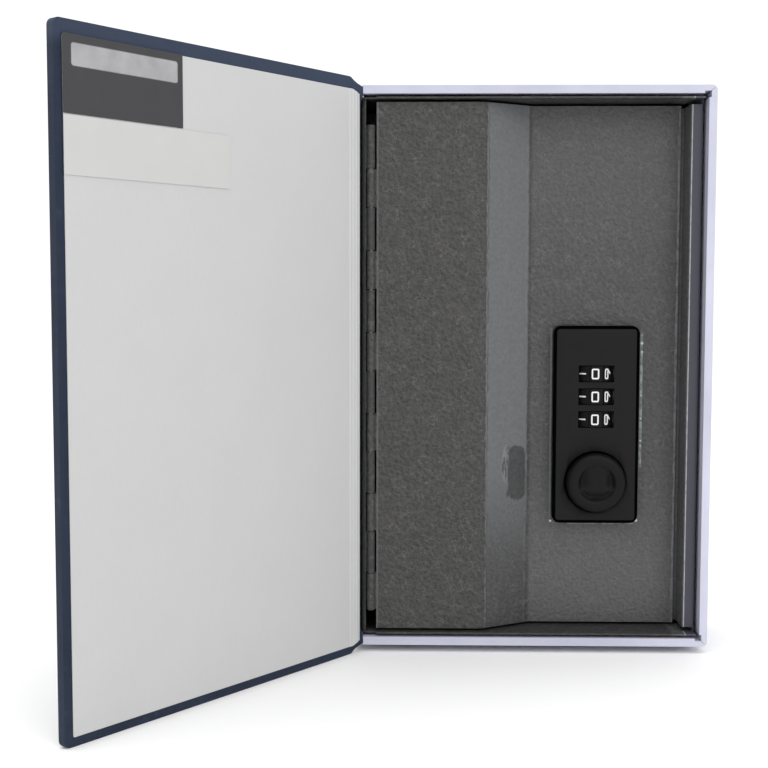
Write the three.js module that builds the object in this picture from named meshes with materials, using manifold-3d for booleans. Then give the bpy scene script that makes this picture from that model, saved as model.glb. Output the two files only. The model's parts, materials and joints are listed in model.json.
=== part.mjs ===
// A book diversion safe: a hardback case whose page block is a steel strongbox with a combination lock.
// Millimetres, +Z up. The book stands on the bottom edges of its boards, and the strongbox door faces -Y.
// X = 0 is the middle of the closed book, Y = 0 the middle of the back board, Z = 0 the shelf.
// The front cover is drawn open, as it stands at rest. Everything else is closed.

import * as THREE from "three";
import { mergeVertices } from "three/addons/utils/BufferGeometryUtils.js";
import Module from "manifold-3d";

const wasm = await Module();
wasm.setup();

// Driving dimensions: the case
const BOOK_WIDTH = 153.3; // closed, spine cloth to fore edge
const BOOK_HEIGHT = 240; // the boards, head to tail
const BOARD = 2.4; // greyboard of the covers and the spine
const CLOTH = 0.4; // covering cloth
const PAPER = 0.3; // endpapers
const STICKER = 0.2; // labels pasted inside the cover
const LAYER_GAP = 0.1; // play between two pasted layers
const TURN_IN = 15; // cloth folded round the inside of a board
const PAPER_CORNER_RADIUS = 0.6;
const BOARD_CORNER_RADIUS = 2.5;
const PAPER_MARGIN_FORE = 3.3; // cloth left showing round the endpaper
const PAPER_MARGIN_HEAD = 5;
const PAPER_MARGIN_TAIL = 3.4;
const HEAD_SQUARE = 3; // boards stand past the page block at head and tail
const FORE_SQUARE = 4; // and at the fore edge
const COVER_GAP = 0.6; // closed cover to the front of the page block
const COVER_OPEN_DEG = 128; // how far the front cover stands open at rest
const JOINT_REACH = 5.3; // cover hinge axis to the hinge edge of a board
const JOINT_START = 0.3; // the joint's free strips start this far from the cover hinge axis
const JOINT_INSET = 2.55; // outside of the spine to the cover hinge axis
const JOINT_AXIS_OUT = 0.3; // the cover hinge axis lies this far before the page block
const SPINE_PULL = 2.8; // the spine is this much lower than the boards at head and tail
const SPINE_BOARD_SHORT = 1.8; // the spine board stops this far behind the front of the page block

// Driving dimensions: labels inside the cover, from its fore edge and its head
const CARD_WIDTH = 51.3;
const CARD_HEIGHT = 25.6;
const CARD_FORE_MARGIN = 3.1; // the card reaches just over the paper's edges
const CARD_HEAD_MARGIN = 4.7;
const STICKER_WIDTH = 73.9;
const STICKER_HEIGHT = 19.4;
const STICKER_DROP = 0.4; // gap between the card and the sticker below it

// Driving dimensions: the page block and its strips
const BLOCK_DEPTH = 47; // front of the page block to its back
const STRIP = 3.4; // wall of the white page strips
const STRIP_BOX_GAP = 1.1;
const STRIP_SPINE_SETBACK = 0.9; // head and tail strips start this far inside the steel box
const STRIP_CORNER_RADIUS = 2.2;
const MITRE_GAP = 0.15;
const CORNER_NOTCH = 1; // hole where two strips meet
const CORNER_NOTCH_RUN = 1.7; // the part of it along the inner faces
const PAGE_GROOVE_COUNT = 11;
const PAGE_GROOVE_WIDTH = 0.6;
const PAGE_GROOVE_DEPTH = 0.25;

// Driving dimensions: the steel box
const SHEET = 0.8; // steel sheet
const SHEET_BEND = 0.8; // bend radius at the middle of the sheet
const WALL_SETBACK = 0.8; // end walls stop this far behind the front of the page block
const LIP_WIDTH = 5.35;
const LIP_DEPTH = 4.5; // front of the page block to the front of the lip
const LIP_END_GAP = 2; // the lip stops this far from the end walls
const STOP_LIP_WIDTH = 4.2;
const STOP_GAP = 0.4; // back of the door to the stop lip

// Driving dimensions: the door and its hinge
const PIN_RADIUS = 0.8;
const PIN_CLEARANCE = 0.1;
const PIN_INSET = 4.3; // outside of the box to the pin axis
const KNUCKLE_SETBACK = 0.8; // knuckles stand this far behind the front of the page block
const KNUCKLE_PAIRS = 6;
const BOX_KNUCKLE = 17.9;
const DOOR_KNUCKLE = 16.05;
const KNUCKLE_GAP = 0.3;
const HINGE_DROP = 0.7; // middle of the hinge below the middle of the door
const CURL_DEG = 285; // how far a knuckle curls round the pin
const DOOR_KNUCKLE_CLEARANCE = 0.6; // door edge to the box knuckles
const BAND_CLEARANCE = 0.35; // edge of the box flange to the door knuckles
const DOOR_END_GAP = 1; // door to the end walls
const DOOR_SWING_GAP = 1.45; // free edge of the door to the lip's return
const DOOR_LOW_DEPTH = 16; // front of the page block to the front of the sunk part of the door
const JOGGLE_TO_PLATE = 9.45; // foot of the door's slope to the lock plate
const JOGGLE_RUN = 21.3; // width of the slope
const DOOR_BEND = 2.5;

// Driving dimensions: the lock
const LOCK_FROM_BOX_EDGE = 41.8; // lock centre line to the outside of the free side of the box
const LOCK_TAIL = 53.5; // bottom of the lock plate above the shelf
const PLATE_WIDTH = 36.5;
const PLATE_HEIGHT = 84.5;
const PLATE_THICK = 5;
const PLATE_SKIN = 1.4;
const PLATE_CORNER_RADIUS = 2.6;
const PLATE_BEVEL = 0.7;
const WINDOW_WIDTH = 15.1;
const WINDOW_HEIGHT = 7.1;
const DIAL_PITCH = 9.75;
const DIAL_COUNT = 3;
const TOP_DIAL_FROM_HEAD = 20.4; // top of the lock plate to the middle of the first dial
const WHEEL_RADIUS = 9.2;
const WHEEL_PROUD = 1;
const WHEEL_HEIGHT = 6.5;
const DIGITS = 10;
const FACET_DEG = 29; // flat face that carries one digit
const WHEEL_GROOVE = 0.7;
const AXLE_RADIUS = 1.5;
const AXLE_CLEARANCE = 0.2; // in the dials and in the housing
const RING_RADIUS = 6.5;
const RING_HEIGHT = 2.4;
const RING_GAP = 0.2;
const GATE_DEPTH = 1.8;
const KNOB_ABOVE_TAIL = 17.8; // bottom of the lock plate to the knob centre
const KNOB_BASE_RADIUS = 12.9;
const KNOB_FACE_RADIUS = 12.6;
const KNOB_HEIGHT = 6.2;
const KNOB_EDGE_RADIUS = 2.2;
const KNOB_GROOVE = 0.8; // groove in the plate round the foot of the knob
const KNOB_GROOVE_DEPTH = 0.7;
const DISH_RADIUS = 8;
const DISH_DEPTH = 2.2;
const GRIP_WIDTH = 8.4; // bar across the dish
const GRIP_DROP = 0.5; // its top below the knob's face
const GRIP_FOOT = 3.2; // gap between its lower end and the edge of the dish
const DISH_SLOPE = 1; // slant of the dish's wall
const ROTOR_RADIUS = 5.9;
const ROTOR_CLEARANCE = 0.3;
const ROTOR_DISC_RADIUS = 7;
const ROTOR_DISC = 1.6;
const ROTOR_END_GAP = 0.1;
const HOUSING_WIDTH = 33;
const HOUSING_END_MARGIN = 1.5; // inside the ends of the plate
const HOUSING_DEPTH = 5;
const HOUSING_WALL = 1.4;
const TOWER_WIDTH = 27;
const TOWER_WALL = 1.5;
const TOWER_END_GAP = 0.35; // dials to the end walls of the tower
const TOWER_BACK_GAP = 3.8; // dials to the back cover
const BACK_COVER = 1.2;
const SCREW_RADIUS = 1.15;
const SCREW_HEAD_RADIUS = 2.3;
const SCREW_TOP_RADIUS = 1.6; // where the head's dome is cut flat
const SCREW_RIM = 0.9; // height of the head's straight rim
const SCREW_HEAD = 1.4;
const SCREW_SLOT_WIDTH = 0.6;
const SCREW_SLOT_DEPTH = 0.5;
const SCREW_SIDE = 13.5; // screws from the lock centre line
const SCREW_END = 5.5; // and from the ends of the plate
const SCREW_CLEARANCE = 0.2;
const SCREW_BOSS_RADIUS = 2.9;
const SCREW_BITE = 3;

// Driving dimensions: what turns and slides inside the lock
const GATE_PLATE = 1.2;
const GATE_PLATE_DOOR_GAP = 0.6;
const GATE_TRAVEL = 1.8; // from rest into the rotor's notch, and into the gates
const GATE_BAR = 1.4;
const GATE_CLEARANCE = 0.4;
const GATE_TOOTH = 1.6;
const GATE_FRAME = 2;
const ROTOR_TOOTH = 2;
const CAM_SHEET = 1.5;
const CAM_WIDTH = 12;
const CAM_REACH = 36;
const CAM_JOGGLE_START = 26.5;
const CAM_JOGGLE_END = 29.5;
const CAM_SCREW_GAP = 0.4;
const CAM_LIP_GAP = 0.5;
const STUD_RADIUS = 2.4;
const STUD_SQUARE = 4.6;
const STUD_END = 1;
const STUD_CLEARANCE = 0.2;
const WASHER_RADIUS = 4.5;
const WASHER = 0.6;
const NUT_SIDES = 6;
const NUT_ACROSS_FLATS = 8;
const NUT = 2.4;
const SPRING_SHEET = 0.4;
const SPRING_BEND = 0.8;
const SPRING_FINGER = 3.2;
const SPRING_TIP = 3; // finger end past the dial's middle
const SPRING_REACH = 4.6; // strip along the wall
const SPRING_LIFT = 0.5; // dial to spring finger
const RESET_TRAVEL = 4;
const RESET_PLATE = 1;
const RESET_PLATE_WIDTH = 9;
const RESET_PLATE_HEIGHT = 9;
const RESET_BUTTON_WIDTH = 3;
const RESET_BUTTON_HEIGHT = 4;
const RESET_BUTTON_PROUD = 0.9;
const RESET_CLEARANCE = 0.4;

// Places across the book, from the spine to the fore edge
const SPINE_X = -BOOK_WIDTH / 2;
const FORE_X = BOOK_WIDTH / 2;
const CASE_WALL = BOARD + CLOTH + 2 * LAYER_GAP;
const BOX_LEFT = SPINE_X + CASE_WALL;
const BLOCK_RIGHT = FORE_X - FORE_SQUARE;
const BOX_RIGHT = BLOCK_RIGHT - STRIP - STRIP_BOX_GAP;
const HINGE_X = SPINE_X + JOINT_INSET;
const PIN_X = BOX_LEFT + PIN_INSET;
const RETURN_X = BOX_RIGHT - LIP_WIDTH;
const LOCK_X = BOX_RIGHT - LOCK_FROM_BOX_EDGE;
const LOWER_BEND_X = LOCK_X - PLATE_WIDTH / 2 - JOGGLE_TO_PLATE;
const UPPER_BEND_X = LOWER_BEND_X - JOGGLE_RUN;

// Places in depth: Y in the case's frame, and the depth behind the front of the page block inside it
const COVER_STACK = BOARD + 2 * CLOTH + PAPER + 3 * LAYER_GAP;
const BACK_OUTSIDE_Y = BOARD / 2 + LAYER_GAP + CLOTH;
const BLOCK_BACK_Y = BACK_OUTSIDE_Y - COVER_STACK - LAYER_GAP;
const FRONT_Y = BLOCK_BACK_Y - BLOCK_DEPTH;
const HINGE_Y = FRONT_Y - JOINT_AXIS_OUT;
const KNUCKLE_MID_RADIUS = PIN_RADIUS + PIN_CLEARANCE + SHEET / 2;
const KNUCKLE_RADIUS = KNUCKLE_MID_RADIUS + SHEET / 2;
const PIN_DEPTH = KNUCKLE_SETBACK + KNUCKLE_RADIUS;
const DOOR_HIGH_MID = PIN_DEPTH + KNUCKLE_MID_RADIUS;
const DOOR_LOW_MID = DOOR_LOW_DEPTH + SHEET / 2;
const DOOR_BACK = DOOR_LOW_DEPTH + SHEET;
const STOP_MID = DOOR_BACK + STOP_GAP + SHEET / 2;
const PLATE_FRONT = DOOR_LOW_DEPTH - PLATE_THICK;
const DIAL_DEPTH = PLATE_FRONT - WHEEL_PROUD + WHEEL_RADIUS;
const HOUSING_FRONT = DOOR_BACK + LAYER_GAP;
const HOUSING_BACK = HOUSING_FRONT + HOUSING_DEPTH;
const TOWER_BACK = DIAL_DEPTH + WHEEL_RADIUS + TOWER_BACK_GAP;
const GATE_FRONT = DOOR_BACK + GATE_PLATE_DOOR_GAP;
const GATE_BACK = GATE_FRONT + GATE_PLATE;
const CAM_FRONT = HOUSING_BACK + SCREW_HEAD + CAM_SCREW_GAP;

// Heights
const BOX_TAIL = HEAD_SQUARE + STRIP + STRIP_BOX_GAP;
const BOX_HEAD = BOOK_HEIGHT - BOX_TAIL;
const DOOR_TAIL = BOX_TAIL + SHEET + DOOR_END_GAP;
const DOOR_HEAD = BOX_HEAD - SHEET - DOOR_END_GAP;
const LOCK_HEAD = LOCK_TAIL + PLATE_HEIGHT;
const KNOB_Z = LOCK_TAIL + KNOB_ABOVE_TAIL;
const dialZ = (i) => LOCK_HEAD - TOP_DIAL_FROM_HEAD - i * DIAL_PITCH;
const RING_TOP = -WHEEL_HEIGHT / 2 - RING_GAP; // below the middle of its dial
const RING_MID = RING_TOP - RING_HEIGHT / 2;
const DIALS_TOP = dialZ(0) + WHEEL_HEIGHT / 2 + TOWER_END_GAP;
const DIALS_BOTTOM = dialZ(DIAL_COUNT - 1) + RING_TOP - RING_HEIGHT - TOWER_END_GAP;
const HOUSING_TAIL = LOCK_TAIL + HOUSING_END_MARGIN;
const HOUSING_HEAD = LOCK_HEAD - HOUSING_END_MARGIN;

// A cut runs this far past what it cuts
const PAST = 1;

// Sides of round parts
const SMALL_ROUND = 16;
const ROUND = 24;
const LARGE_ROUND = 36;
const FINE_ROUND = 48;

const FINISHES = {
  cloth: { color: 0x2f3a52, roughness: 0.75, metalness: 0 },
  greyboard: { color: 0x8b857c, roughness: 0.9, metalness: 0 },
  endpaper: { color: 0xd3d3d5, roughness: 0.8, metalness: 0 },
  pageStrip: { color: 0xe6e6ee, roughness: 0.5, metalness: 0 },
  hammertone: { color: 0x575755, roughness: 0.45, metalness: 0.3 },
  smoothSteel: { color: 0x4c4c54, roughness: 0.5, metalness: 0.3 },
  bareSteel: { color: 0x9a9a9c, roughness: 0.35, metalness: 1 },
  blackPlastic: { color: 0x1b1b1c, roughness: 0.5, metalness: 0 },
  zinc: { color: 0x8d8f92, roughness: 0.4, metalness: 1 },
  brass: { color: 0xb08d45, roughness: 0.35, metalness: 1 },
  darkCard: { color: 0x38373b, roughness: 0.4, metalness: 0 },
  sticker: { color: 0xdcdcda, roughness: 0.5, metalness: 0 },
};

// A closed geometry as a solid that can be joined and cut
function solid(geometry) {
  const bare = geometry.index ? geometry.toNonIndexed() : geometry.clone();
  bare.deleteAttribute("normal");
  bare.deleteAttribute("uv");
  const merged = mergeVertices(bare);
  const corners = [];
  for (let i = 0; i < merged.index.count; i += 3) {
    const [a, b, c] = merged.index.array.slice(i, i + 3);
    if (a !== b && b !== c && c !== a) corners.push(a, b, c);
  }
  const build = (triVerts) =>
    new wasm.Manifold(
      new wasm.Mesh({
        numProp: 3,
        vertProperties: merged.attributes.position.array,
        triVerts: new Uint32Array(triVerts),
      }),
    );
  const made = build(corners);
  return made.volume() < 0 ? build(corners.reverse()) : made;
}

// A solid back as a geometry with flat faces
function geometryOf(made) {
  const mesh = made.getMesh();
  const geometry = new THREE.BufferGeometry();
  geometry.setAttribute("position", new THREE.BufferAttribute(mesh.vertProperties, 3));
  geometry.setIndex(new THREE.BufferAttribute(mesh.triVerts, 1));
  const flat = geometry.toNonIndexed();
  flat.computeVertexNormals();
  return flat;
}

const union = (pieces) => pieces.reduce((sum, piece) => sum.add(piece));

function piece(parent, name, made, finish) {
  const material = new THREE.MeshStandardMaterial(FINISHES[finish]);
  const mesh = new THREE.Mesh(geometryOf(made), material);
  mesh.name = name;
  parent.add(mesh);
  return mesh;
}

function box(x0, x1, y0, y1, z0, z1) {
  const geometry = new THREE.BoxGeometry(x1 - x0, y1 - y0, z1 - z0);
  return solid(geometry.translate((x0 + x1) / 2, (y0 + y1) / 2, (z0 + z1) / 2));
}

// A plane outline extruded along one axis. The outline's own axes are named after the word "in".
function extrude(points, from, to) {
  const shape = new THREE.Shape(points.map(([u, v]) => new THREE.Vector2(u, v)));
  const options = { depth: to - from, bevelEnabled: false };
  return new THREE.ExtrudeGeometry(shape, options).translate(0, 0, from);
}

const inXY = (points, z0, z1) => solid(extrude(points, z0, z1));

function inXZ(points, y0, y1) {
  return solid(extrude(points, -y1, -y0).rotateX(Math.PI / 2));
}

function inYZ(points, x0, x1) {
  const basis = new THREE.Matrix4().makeBasis(
    new THREE.Vector3(0, 1, 0),
    new THREE.Vector3(0, 0, 1),
    new THREE.Vector3(1, 0, 0),
  );
  return solid(extrude(points, x0, x1).applyMatrix4(basis));
}

// Points of an arc about (cx, cy), angles in degrees from +u towards +v
function arc(cx, cy, radius, fromDeg, toDeg, steps) {
  return Array.from({ length: steps + 1 }, (_, i) => {
    const angle = THREE.MathUtils.degToRad(fromDeg + ((toDeg - fromDeg) * i) / steps);
    return [cx + radius * Math.cos(angle), cy + radius * Math.sin(angle)];
  });
}

// A rectangle whose corners are rounded at its high-u side only, or all round
function roundedRect(u0, u1, v0, v1, radius, allRound = false) {
  const steps = 6;
  const left = allRound
    ? [
        ...arc(u0 + radius, v1 - radius, radius, 90, 180, steps),
        ...arc(u0 + radius, v0 + radius, radius, 180, 270, steps),
      ]
    : [
        [u0, v1],
        [u0, v0],
      ];
  return [
    ...arc(u1 - radius, v0 + radius, radius, -90, 0, steps),
    ...arc(u1 - radius, v1 - radius, radius, 0, 90, steps),
    ...left,
  ];
}

// The middle line of a bent sheet: straight runs joined by bends of one radius
function bentLine(corners, radius) {
  const steps = 4;
  const points = corners.map(([u, v]) => new THREE.Vector2(u, v));
  const line = [points[0]];
  for (let i = 1; i < points.length - 1; i++) {
    const before = points[i - 1].clone().sub(points[i]).normalize();
    const after = points[i + 1].clone().sub(points[i]).normalize();
    const half = Math.acos(THREE.MathUtils.clamp(before.dot(after), -1, 1)) / 2;
    const back = radius / Math.tan(half);
    const start = points[i].clone().addScaledVector(before, back);
    const end = points[i].clone().addScaledVector(after, back);
    for (let k = 0; k <= steps; k++) {
      const t = k / steps;
      const a = start.clone().lerp(points[i], t);
      const b = points[i].clone().lerp(end, t);
      line.push(a.lerp(b, t));
    }
  }
  line.push(points[points.length - 1]);
  return line.map((p) => [p.x, p.y]);
}

// The outline of a sheet of one thickness about its middle line
function ribbon(line, thickness) {
  const points = line.map(([u, v]) => new THREE.Vector2(u, v));
  const sides = [[], []];
  points.forEach((p, i) => {
    const before = points[Math.max(i - 1, 0)];
    const after = points[Math.min(i + 1, points.length - 1)];
    const inDir = p.clone().sub(before);
    const outDir = after.clone().sub(p);
    const a = (inDir.length() ? inDir : outDir).clone().normalize();
    const b = (outDir.length() ? outDir : inDir).clone().normalize();
    const tangent = a.clone().add(b).normalize();
    const stretch = 1 / Math.max(tangent.dot(a), 0.5);
    const normal = new THREE.Vector2(-tangent.y, tangent.x).multiplyScalar((stretch * thickness) / 2);
    sides[0].push([p.x + normal.x, p.y + normal.y]);
    sides[1].push([p.x - normal.x, p.y - normal.y]);
  });
  return [...sides[0], ...sides[1].reverse()];
}

// A solid of revolution about a line along Y, from pairs of radius and depth
function turned(profile, x, z, segments = LARGE_ROUND) {
  const points = profile.map(([radius, depth]) => new THREE.Vector2(radius, depth));
  return solid(new THREE.LatheGeometry(points, segments).translate(x, 0, z));
}

const rod = (radius, x, z, y0, y1, segments = ROUND) =>
  turned([[0, y0], [radius, y0], [radius, y1], [0, y1]], x, z, segments);

// A round rod standing along Z
function post(radius, x, y, z0, z1, segments = ROUND) {
  const geometry = new THREE.CylinderGeometry(radius, radius, z1 - z0, segments);
  return solid(geometry.rotateX(Math.PI / 2).translate(x, y, (z0 + z1) / 2));
}

// A full circle's points
const circle = (radius, sides) => arc(0, 0, radius, 0, 360 - 360 / sides, sides - 1);

// The case

// One cased board in its own frame: x from the hinge edge to the fore edge, y from the outside inwards
function casedBoard() {
  const width = FORE_X - HINGE_X - JOINT_REACH;
  const inner = CLOTH + LAYER_GAP;
  const boardBack = inner + BOARD;
  const clothBack = boardBack + LAYER_GAP + CLOTH;
  const outline = (inset, radius) =>
    roundedRect(inset, width - inset, inset, BOOK_HEIGHT - inset, radius);
  const wrapped = inXZ(outline(0, BOARD_CORNER_RADIUS), 0, clothBack);
  const pocket = inXZ(outline(CLOTH, BOARD_CORNER_RADIUS - CLOTH), CLOTH, clothBack - CLOTH);
  const within = (inset, y0, y1) => box(inset, width - inset, y0, y1, inset, BOOK_HEIGHT - inset);
  const opening = within(TURN_IN, boardBack, clothBack + CLOTH);
  const paper = inXZ(
    roundedRect(
      LAYER_GAP,
      width - PAPER_MARGIN_FORE,
      PAPER_MARGIN_TAIL,
      BOOK_HEIGHT - PAPER_MARGIN_HEAD,
      PAPER_CORNER_RADIUS,
    ),
    clothBack + LAYER_GAP,
    COVER_STACK,
  );
  const infill = within(TURN_IN + LAYER_GAP, boardBack + LAYER_GAP, COVER_STACK);
  return {
    width,
    cloth: wrapped.subtract(pocket).subtract(opening),
    board: inXZ(outline(inner, BOARD_CORNER_RADIUS - inner), inner, boardBack),
    paper: paper.add(infill),
  };
}

// The cloth from the back board's hinge edge round the spine board to the front joint
function spineCloth() {
  const mid = CLOTH / 2;
  const spineMid = SPINE_X + mid;
  const boardEdge = HINGE_X + JOINT_REACH;
  const boardIn = SPINE_X + CASE_WALL - LAYER_GAP;
  const rearGroove = BLOCK_BACK_Y + LAYER_GAP + mid;
  const line = bentLine(
    [
      [boardEdge + CLOTH, BACK_OUTSIDE_Y - mid],
      [boardEdge - CLOTH, BACK_OUTSIDE_Y - mid],
      [boardEdge - BOARD, rearGroove],
      [spineMid, rearGroove],
      [spineMid, FRONT_Y + SPINE_BOARD_SHORT - LAYER_GAP - mid],
      [boardIn - CLOTH, FRONT_Y - mid],
    ],
    mid,
  );
  const full = inXY(ribbon(line, CLOTH), 0, BOOK_HEIGHT);
  return full.subtract(spinePull(0, 1)).subtract(spinePull(BOOK_HEIGHT, -1));
}

// What the cloth leaves free above and below the spine: it slants down from the board's height
function spinePull(end, inwards) {
  const boardEdge = HINGE_X + JOINT_REACH;
  const low = end + inwards * SPINE_PULL;
  const past = end - inwards * PAST;
  const points = [
    [boardEdge - CLOTH, past],
    [boardEdge - CLOTH, end],
    [boardEdge - JOINT_REACH, low],
    [SPINE_X - PAST, low],
    [SPINE_X - PAST, past],
  ];
  return inXZ(points, FRONT_Y - PAST, BACK_OUTSIDE_Y + PAST);
}

function backCase(parent) {
  const made = casedBoard();
  const corner = [HINGE_X + JOINT_REACH, BACK_OUTSIDE_Y, BOOK_HEIGHT];
  const place = (s) => s.rotate([180, 0, 0]).translate(corner);
  piece(parent, "case_cloth", place(made.cloth).add(spineCloth()), "cloth");
  piece(parent, "back_board", place(made.board), "greyboard");
  piece(parent, "back_endpaper", place(made.paper), "endpaper");
  const boardOut = SPINE_X + CLOTH + LAYER_GAP;
  const spine = box(
    boardOut,
    boardOut + BOARD,
    FRONT_Y + SPINE_BOARD_SHORT,
    BLOCK_BACK_Y - CLOTH - LAYER_GAP,
    SPINE_PULL + CLOTH,
    BOOK_HEIGHT - SPINE_PULL - CLOTH,
  );
  piece(parent, "spine_board", spine, "greyboard");
}

// The front cover in the frame of its hinge, as it lies closed
function frontCover(parent) {
  const made = casedBoard();
  const innerFace = JOINT_AXIS_OUT - COVER_GAP;
  const outerFace = innerFace - COVER_STACK;
  const place = (s) => s.translate([JOINT_REACH, outerFace, 0]);
  const foreEdge = JOINT_REACH + made.width;
  piece(parent, "front_cloth", place(made.cloth), "cloth");
  piece(parent, "front_board", place(made.board), "greyboard");
  piece(parent, "front_endpaper", place(made.paper), "endpaper");

  const end = JOINT_REACH - LAYER_GAP;
  const liningBack = innerFace - PAPER;
  const clothBack = liningBack - LAYER_GAP - CLOTH;
  const paperHead = BOOK_HEIGHT - PAPER_MARGIN_HEAD;
  const lining = box(JOINT_START, end, liningBack, innerFace, PAPER_MARGIN_TAIL, paperHead);
  piece(parent, "front_joint_lining", lining, "endpaper");
  const joint = box(JOINT_START, end, clothBack, clothBack + CLOTH, 0, BOOK_HEIGHT);
  piece(parent, "front_joint_cloth", joint, "cloth");

  const pasted = innerFace + LAYER_GAP;
  const cardEdge = foreEdge - CARD_FORE_MARGIN;
  const cardHead = BOOK_HEIGHT - CARD_HEAD_MARGIN;
  const cardTail = cardHead - CARD_HEIGHT;
  const stickerHead = cardTail - STICKER_DROP;
  const card = box(cardEdge - CARD_WIDTH, cardEdge, pasted, pasted + STICKER, cardTail, cardHead);
  piece(parent, "label_card", card, "darkCard");
  const sticker = box(
    cardEdge - STICKER_WIDTH,
    cardEdge,
    pasted,
    pasted + STICKER,
    stickerHead - STICKER_HEIGHT,
    stickerHead,
  );
  piece(parent, "blank_sticker", sticker, "sticker");
}

// The page block. From here on, Y is the depth behind its front.

// The white frame round the box on three sides, grooved like pages and mitred into three strips
function pageStrips(parent) {
  const left = BOX_LEFT + STRIP_SPINE_SETBACK;
  const past = BOX_LEFT - BOOK_WIDTH;
  const tail = HEAD_SQUARE;
  const head = BOOK_HEIGHT - HEAD_SQUARE;
  const innerRight = BLOCK_RIGHT - STRIP;
  const back = BLOCK_DEPTH;
  const outline = (inset, from) =>
    roundedRect(from, BLOCK_RIGHT - inset, tail + inset, head - inset, STRIP_CORNER_RADIUS - inset);
  let frame = inXZ(outline(0, left), 0, back);
  frame = frame.subtract(box(past, innerRight, -PAST, back + PAST, tail + STRIP, head - STRIP));
  for (const [z0, z1] of [
    [tail + STRIP - CORNER_NOTCH, tail + STRIP + CORNER_NOTCH_RUN],
    [head - STRIP - CORNER_NOTCH_RUN, head - STRIP + CORNER_NOTCH],
  ]) {
    const across = [innerRight - CORNER_NOTCH_RUN, innerRight + CORNER_NOTCH];
    const notch = box(...across, -PAST, back + PAST, z0, z1);
    frame = frame.subtract(notch);
  }
  const pitch = back / (PAGE_GROOVE_COUNT + 1);
  const inside = outline(PAGE_GROOVE_DEPTH, past);
  const reachX = [left - PAST, BLOCK_RIGHT + PAST];
  const outside = roundedRect(...reachX, tail - PAST, head + PAST, STRIP_CORNER_RADIUS);
  for (let i = 1; i <= PAGE_GROOVE_COUNT; i++) {
    const y0 = i * pitch - PAGE_GROOVE_WIDTH / 2;
    const y1 = y0 + PAGE_GROOVE_WIDTH;
    frame = frame.subtract(inXZ(outside, y0, y1).subtract(inXZ(inside, y0 - PAST, y1 + PAST)));
  }
  const mitred = (shift) => {
    const reach = STRIP * 2;
    const points = [
      [innerRight + shift, head - STRIP],
      [innerRight + shift, tail + STRIP],
      [innerRight + shift + reach, tail + STRIP - reach],
      [innerRight + shift + reach, head - STRIP + reach],
    ];
    return inXZ(points, -PAST, back + PAST);
  };
  const middle = BOOK_HEIGHT / 2;
  const ends = frame.subtract(mitred(-MITRE_GAP / 2));
  piece(parent, "page_strip_fore_edge", frame.intersect(mitred(MITRE_GAP / 2)), "pageStrip");
  const headBox = box(past, FORE_X, -PAST, back + PAST, middle, BOOK_HEIGHT);
  const tailBox = box(past, FORE_X, -PAST, back + PAST, 0, middle);
  piece(parent, "page_strip_head", ends.intersect(headBox), "pageStrip");
  piece(parent, "page_strip_tail", ends.intersect(tailBox), "pageStrip");
}

// Heights at which the box's and the door's knuckles stand, from the top down
function knuckleSpans() {
  const length = KNUCKLE_PAIRS * (BOX_KNUCKLE + DOOR_KNUCKLE);
  const top = (DOOR_HEAD + DOOR_TAIL + length) / 2 - HINGE_DROP;
  const spans = { box: [], door: [], top, bottom: top - length };
  for (let i = 0; i < KNUCKLE_PAIRS; i++) {
    const start = top - i * (BOX_KNUCKLE + DOOR_KNUCKLE);
    spans.box.push([start - BOX_KNUCKLE + KNUCKLE_GAP / 2, start - KNUCKLE_GAP / 2]);
    const next = start - BOX_KNUCKLE;
    spans.door.push([next - DOOR_KNUCKLE + KNUCKLE_GAP / 2, next - KNUCKLE_GAP / 2]);
  }
  return spans;
}

// Knuckles curled round the pin from a sheet that arrives behind it: side -1 from the left, 1 from the right
function knuckles(side, from, spans) {
  const steps = 18;
  const start = 90;
  const curl = arc(PIN_X, PIN_DEPTH, KNUCKLE_MID_RADIUS, start, start + side * CURL_DEG, steps);
  const line = [[from, DOOR_HIGH_MID], ...curl];
  return union(spans.map(([z0, z1]) => inXY(ribbon(line, SHEET), z0, z1)));
}

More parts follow.
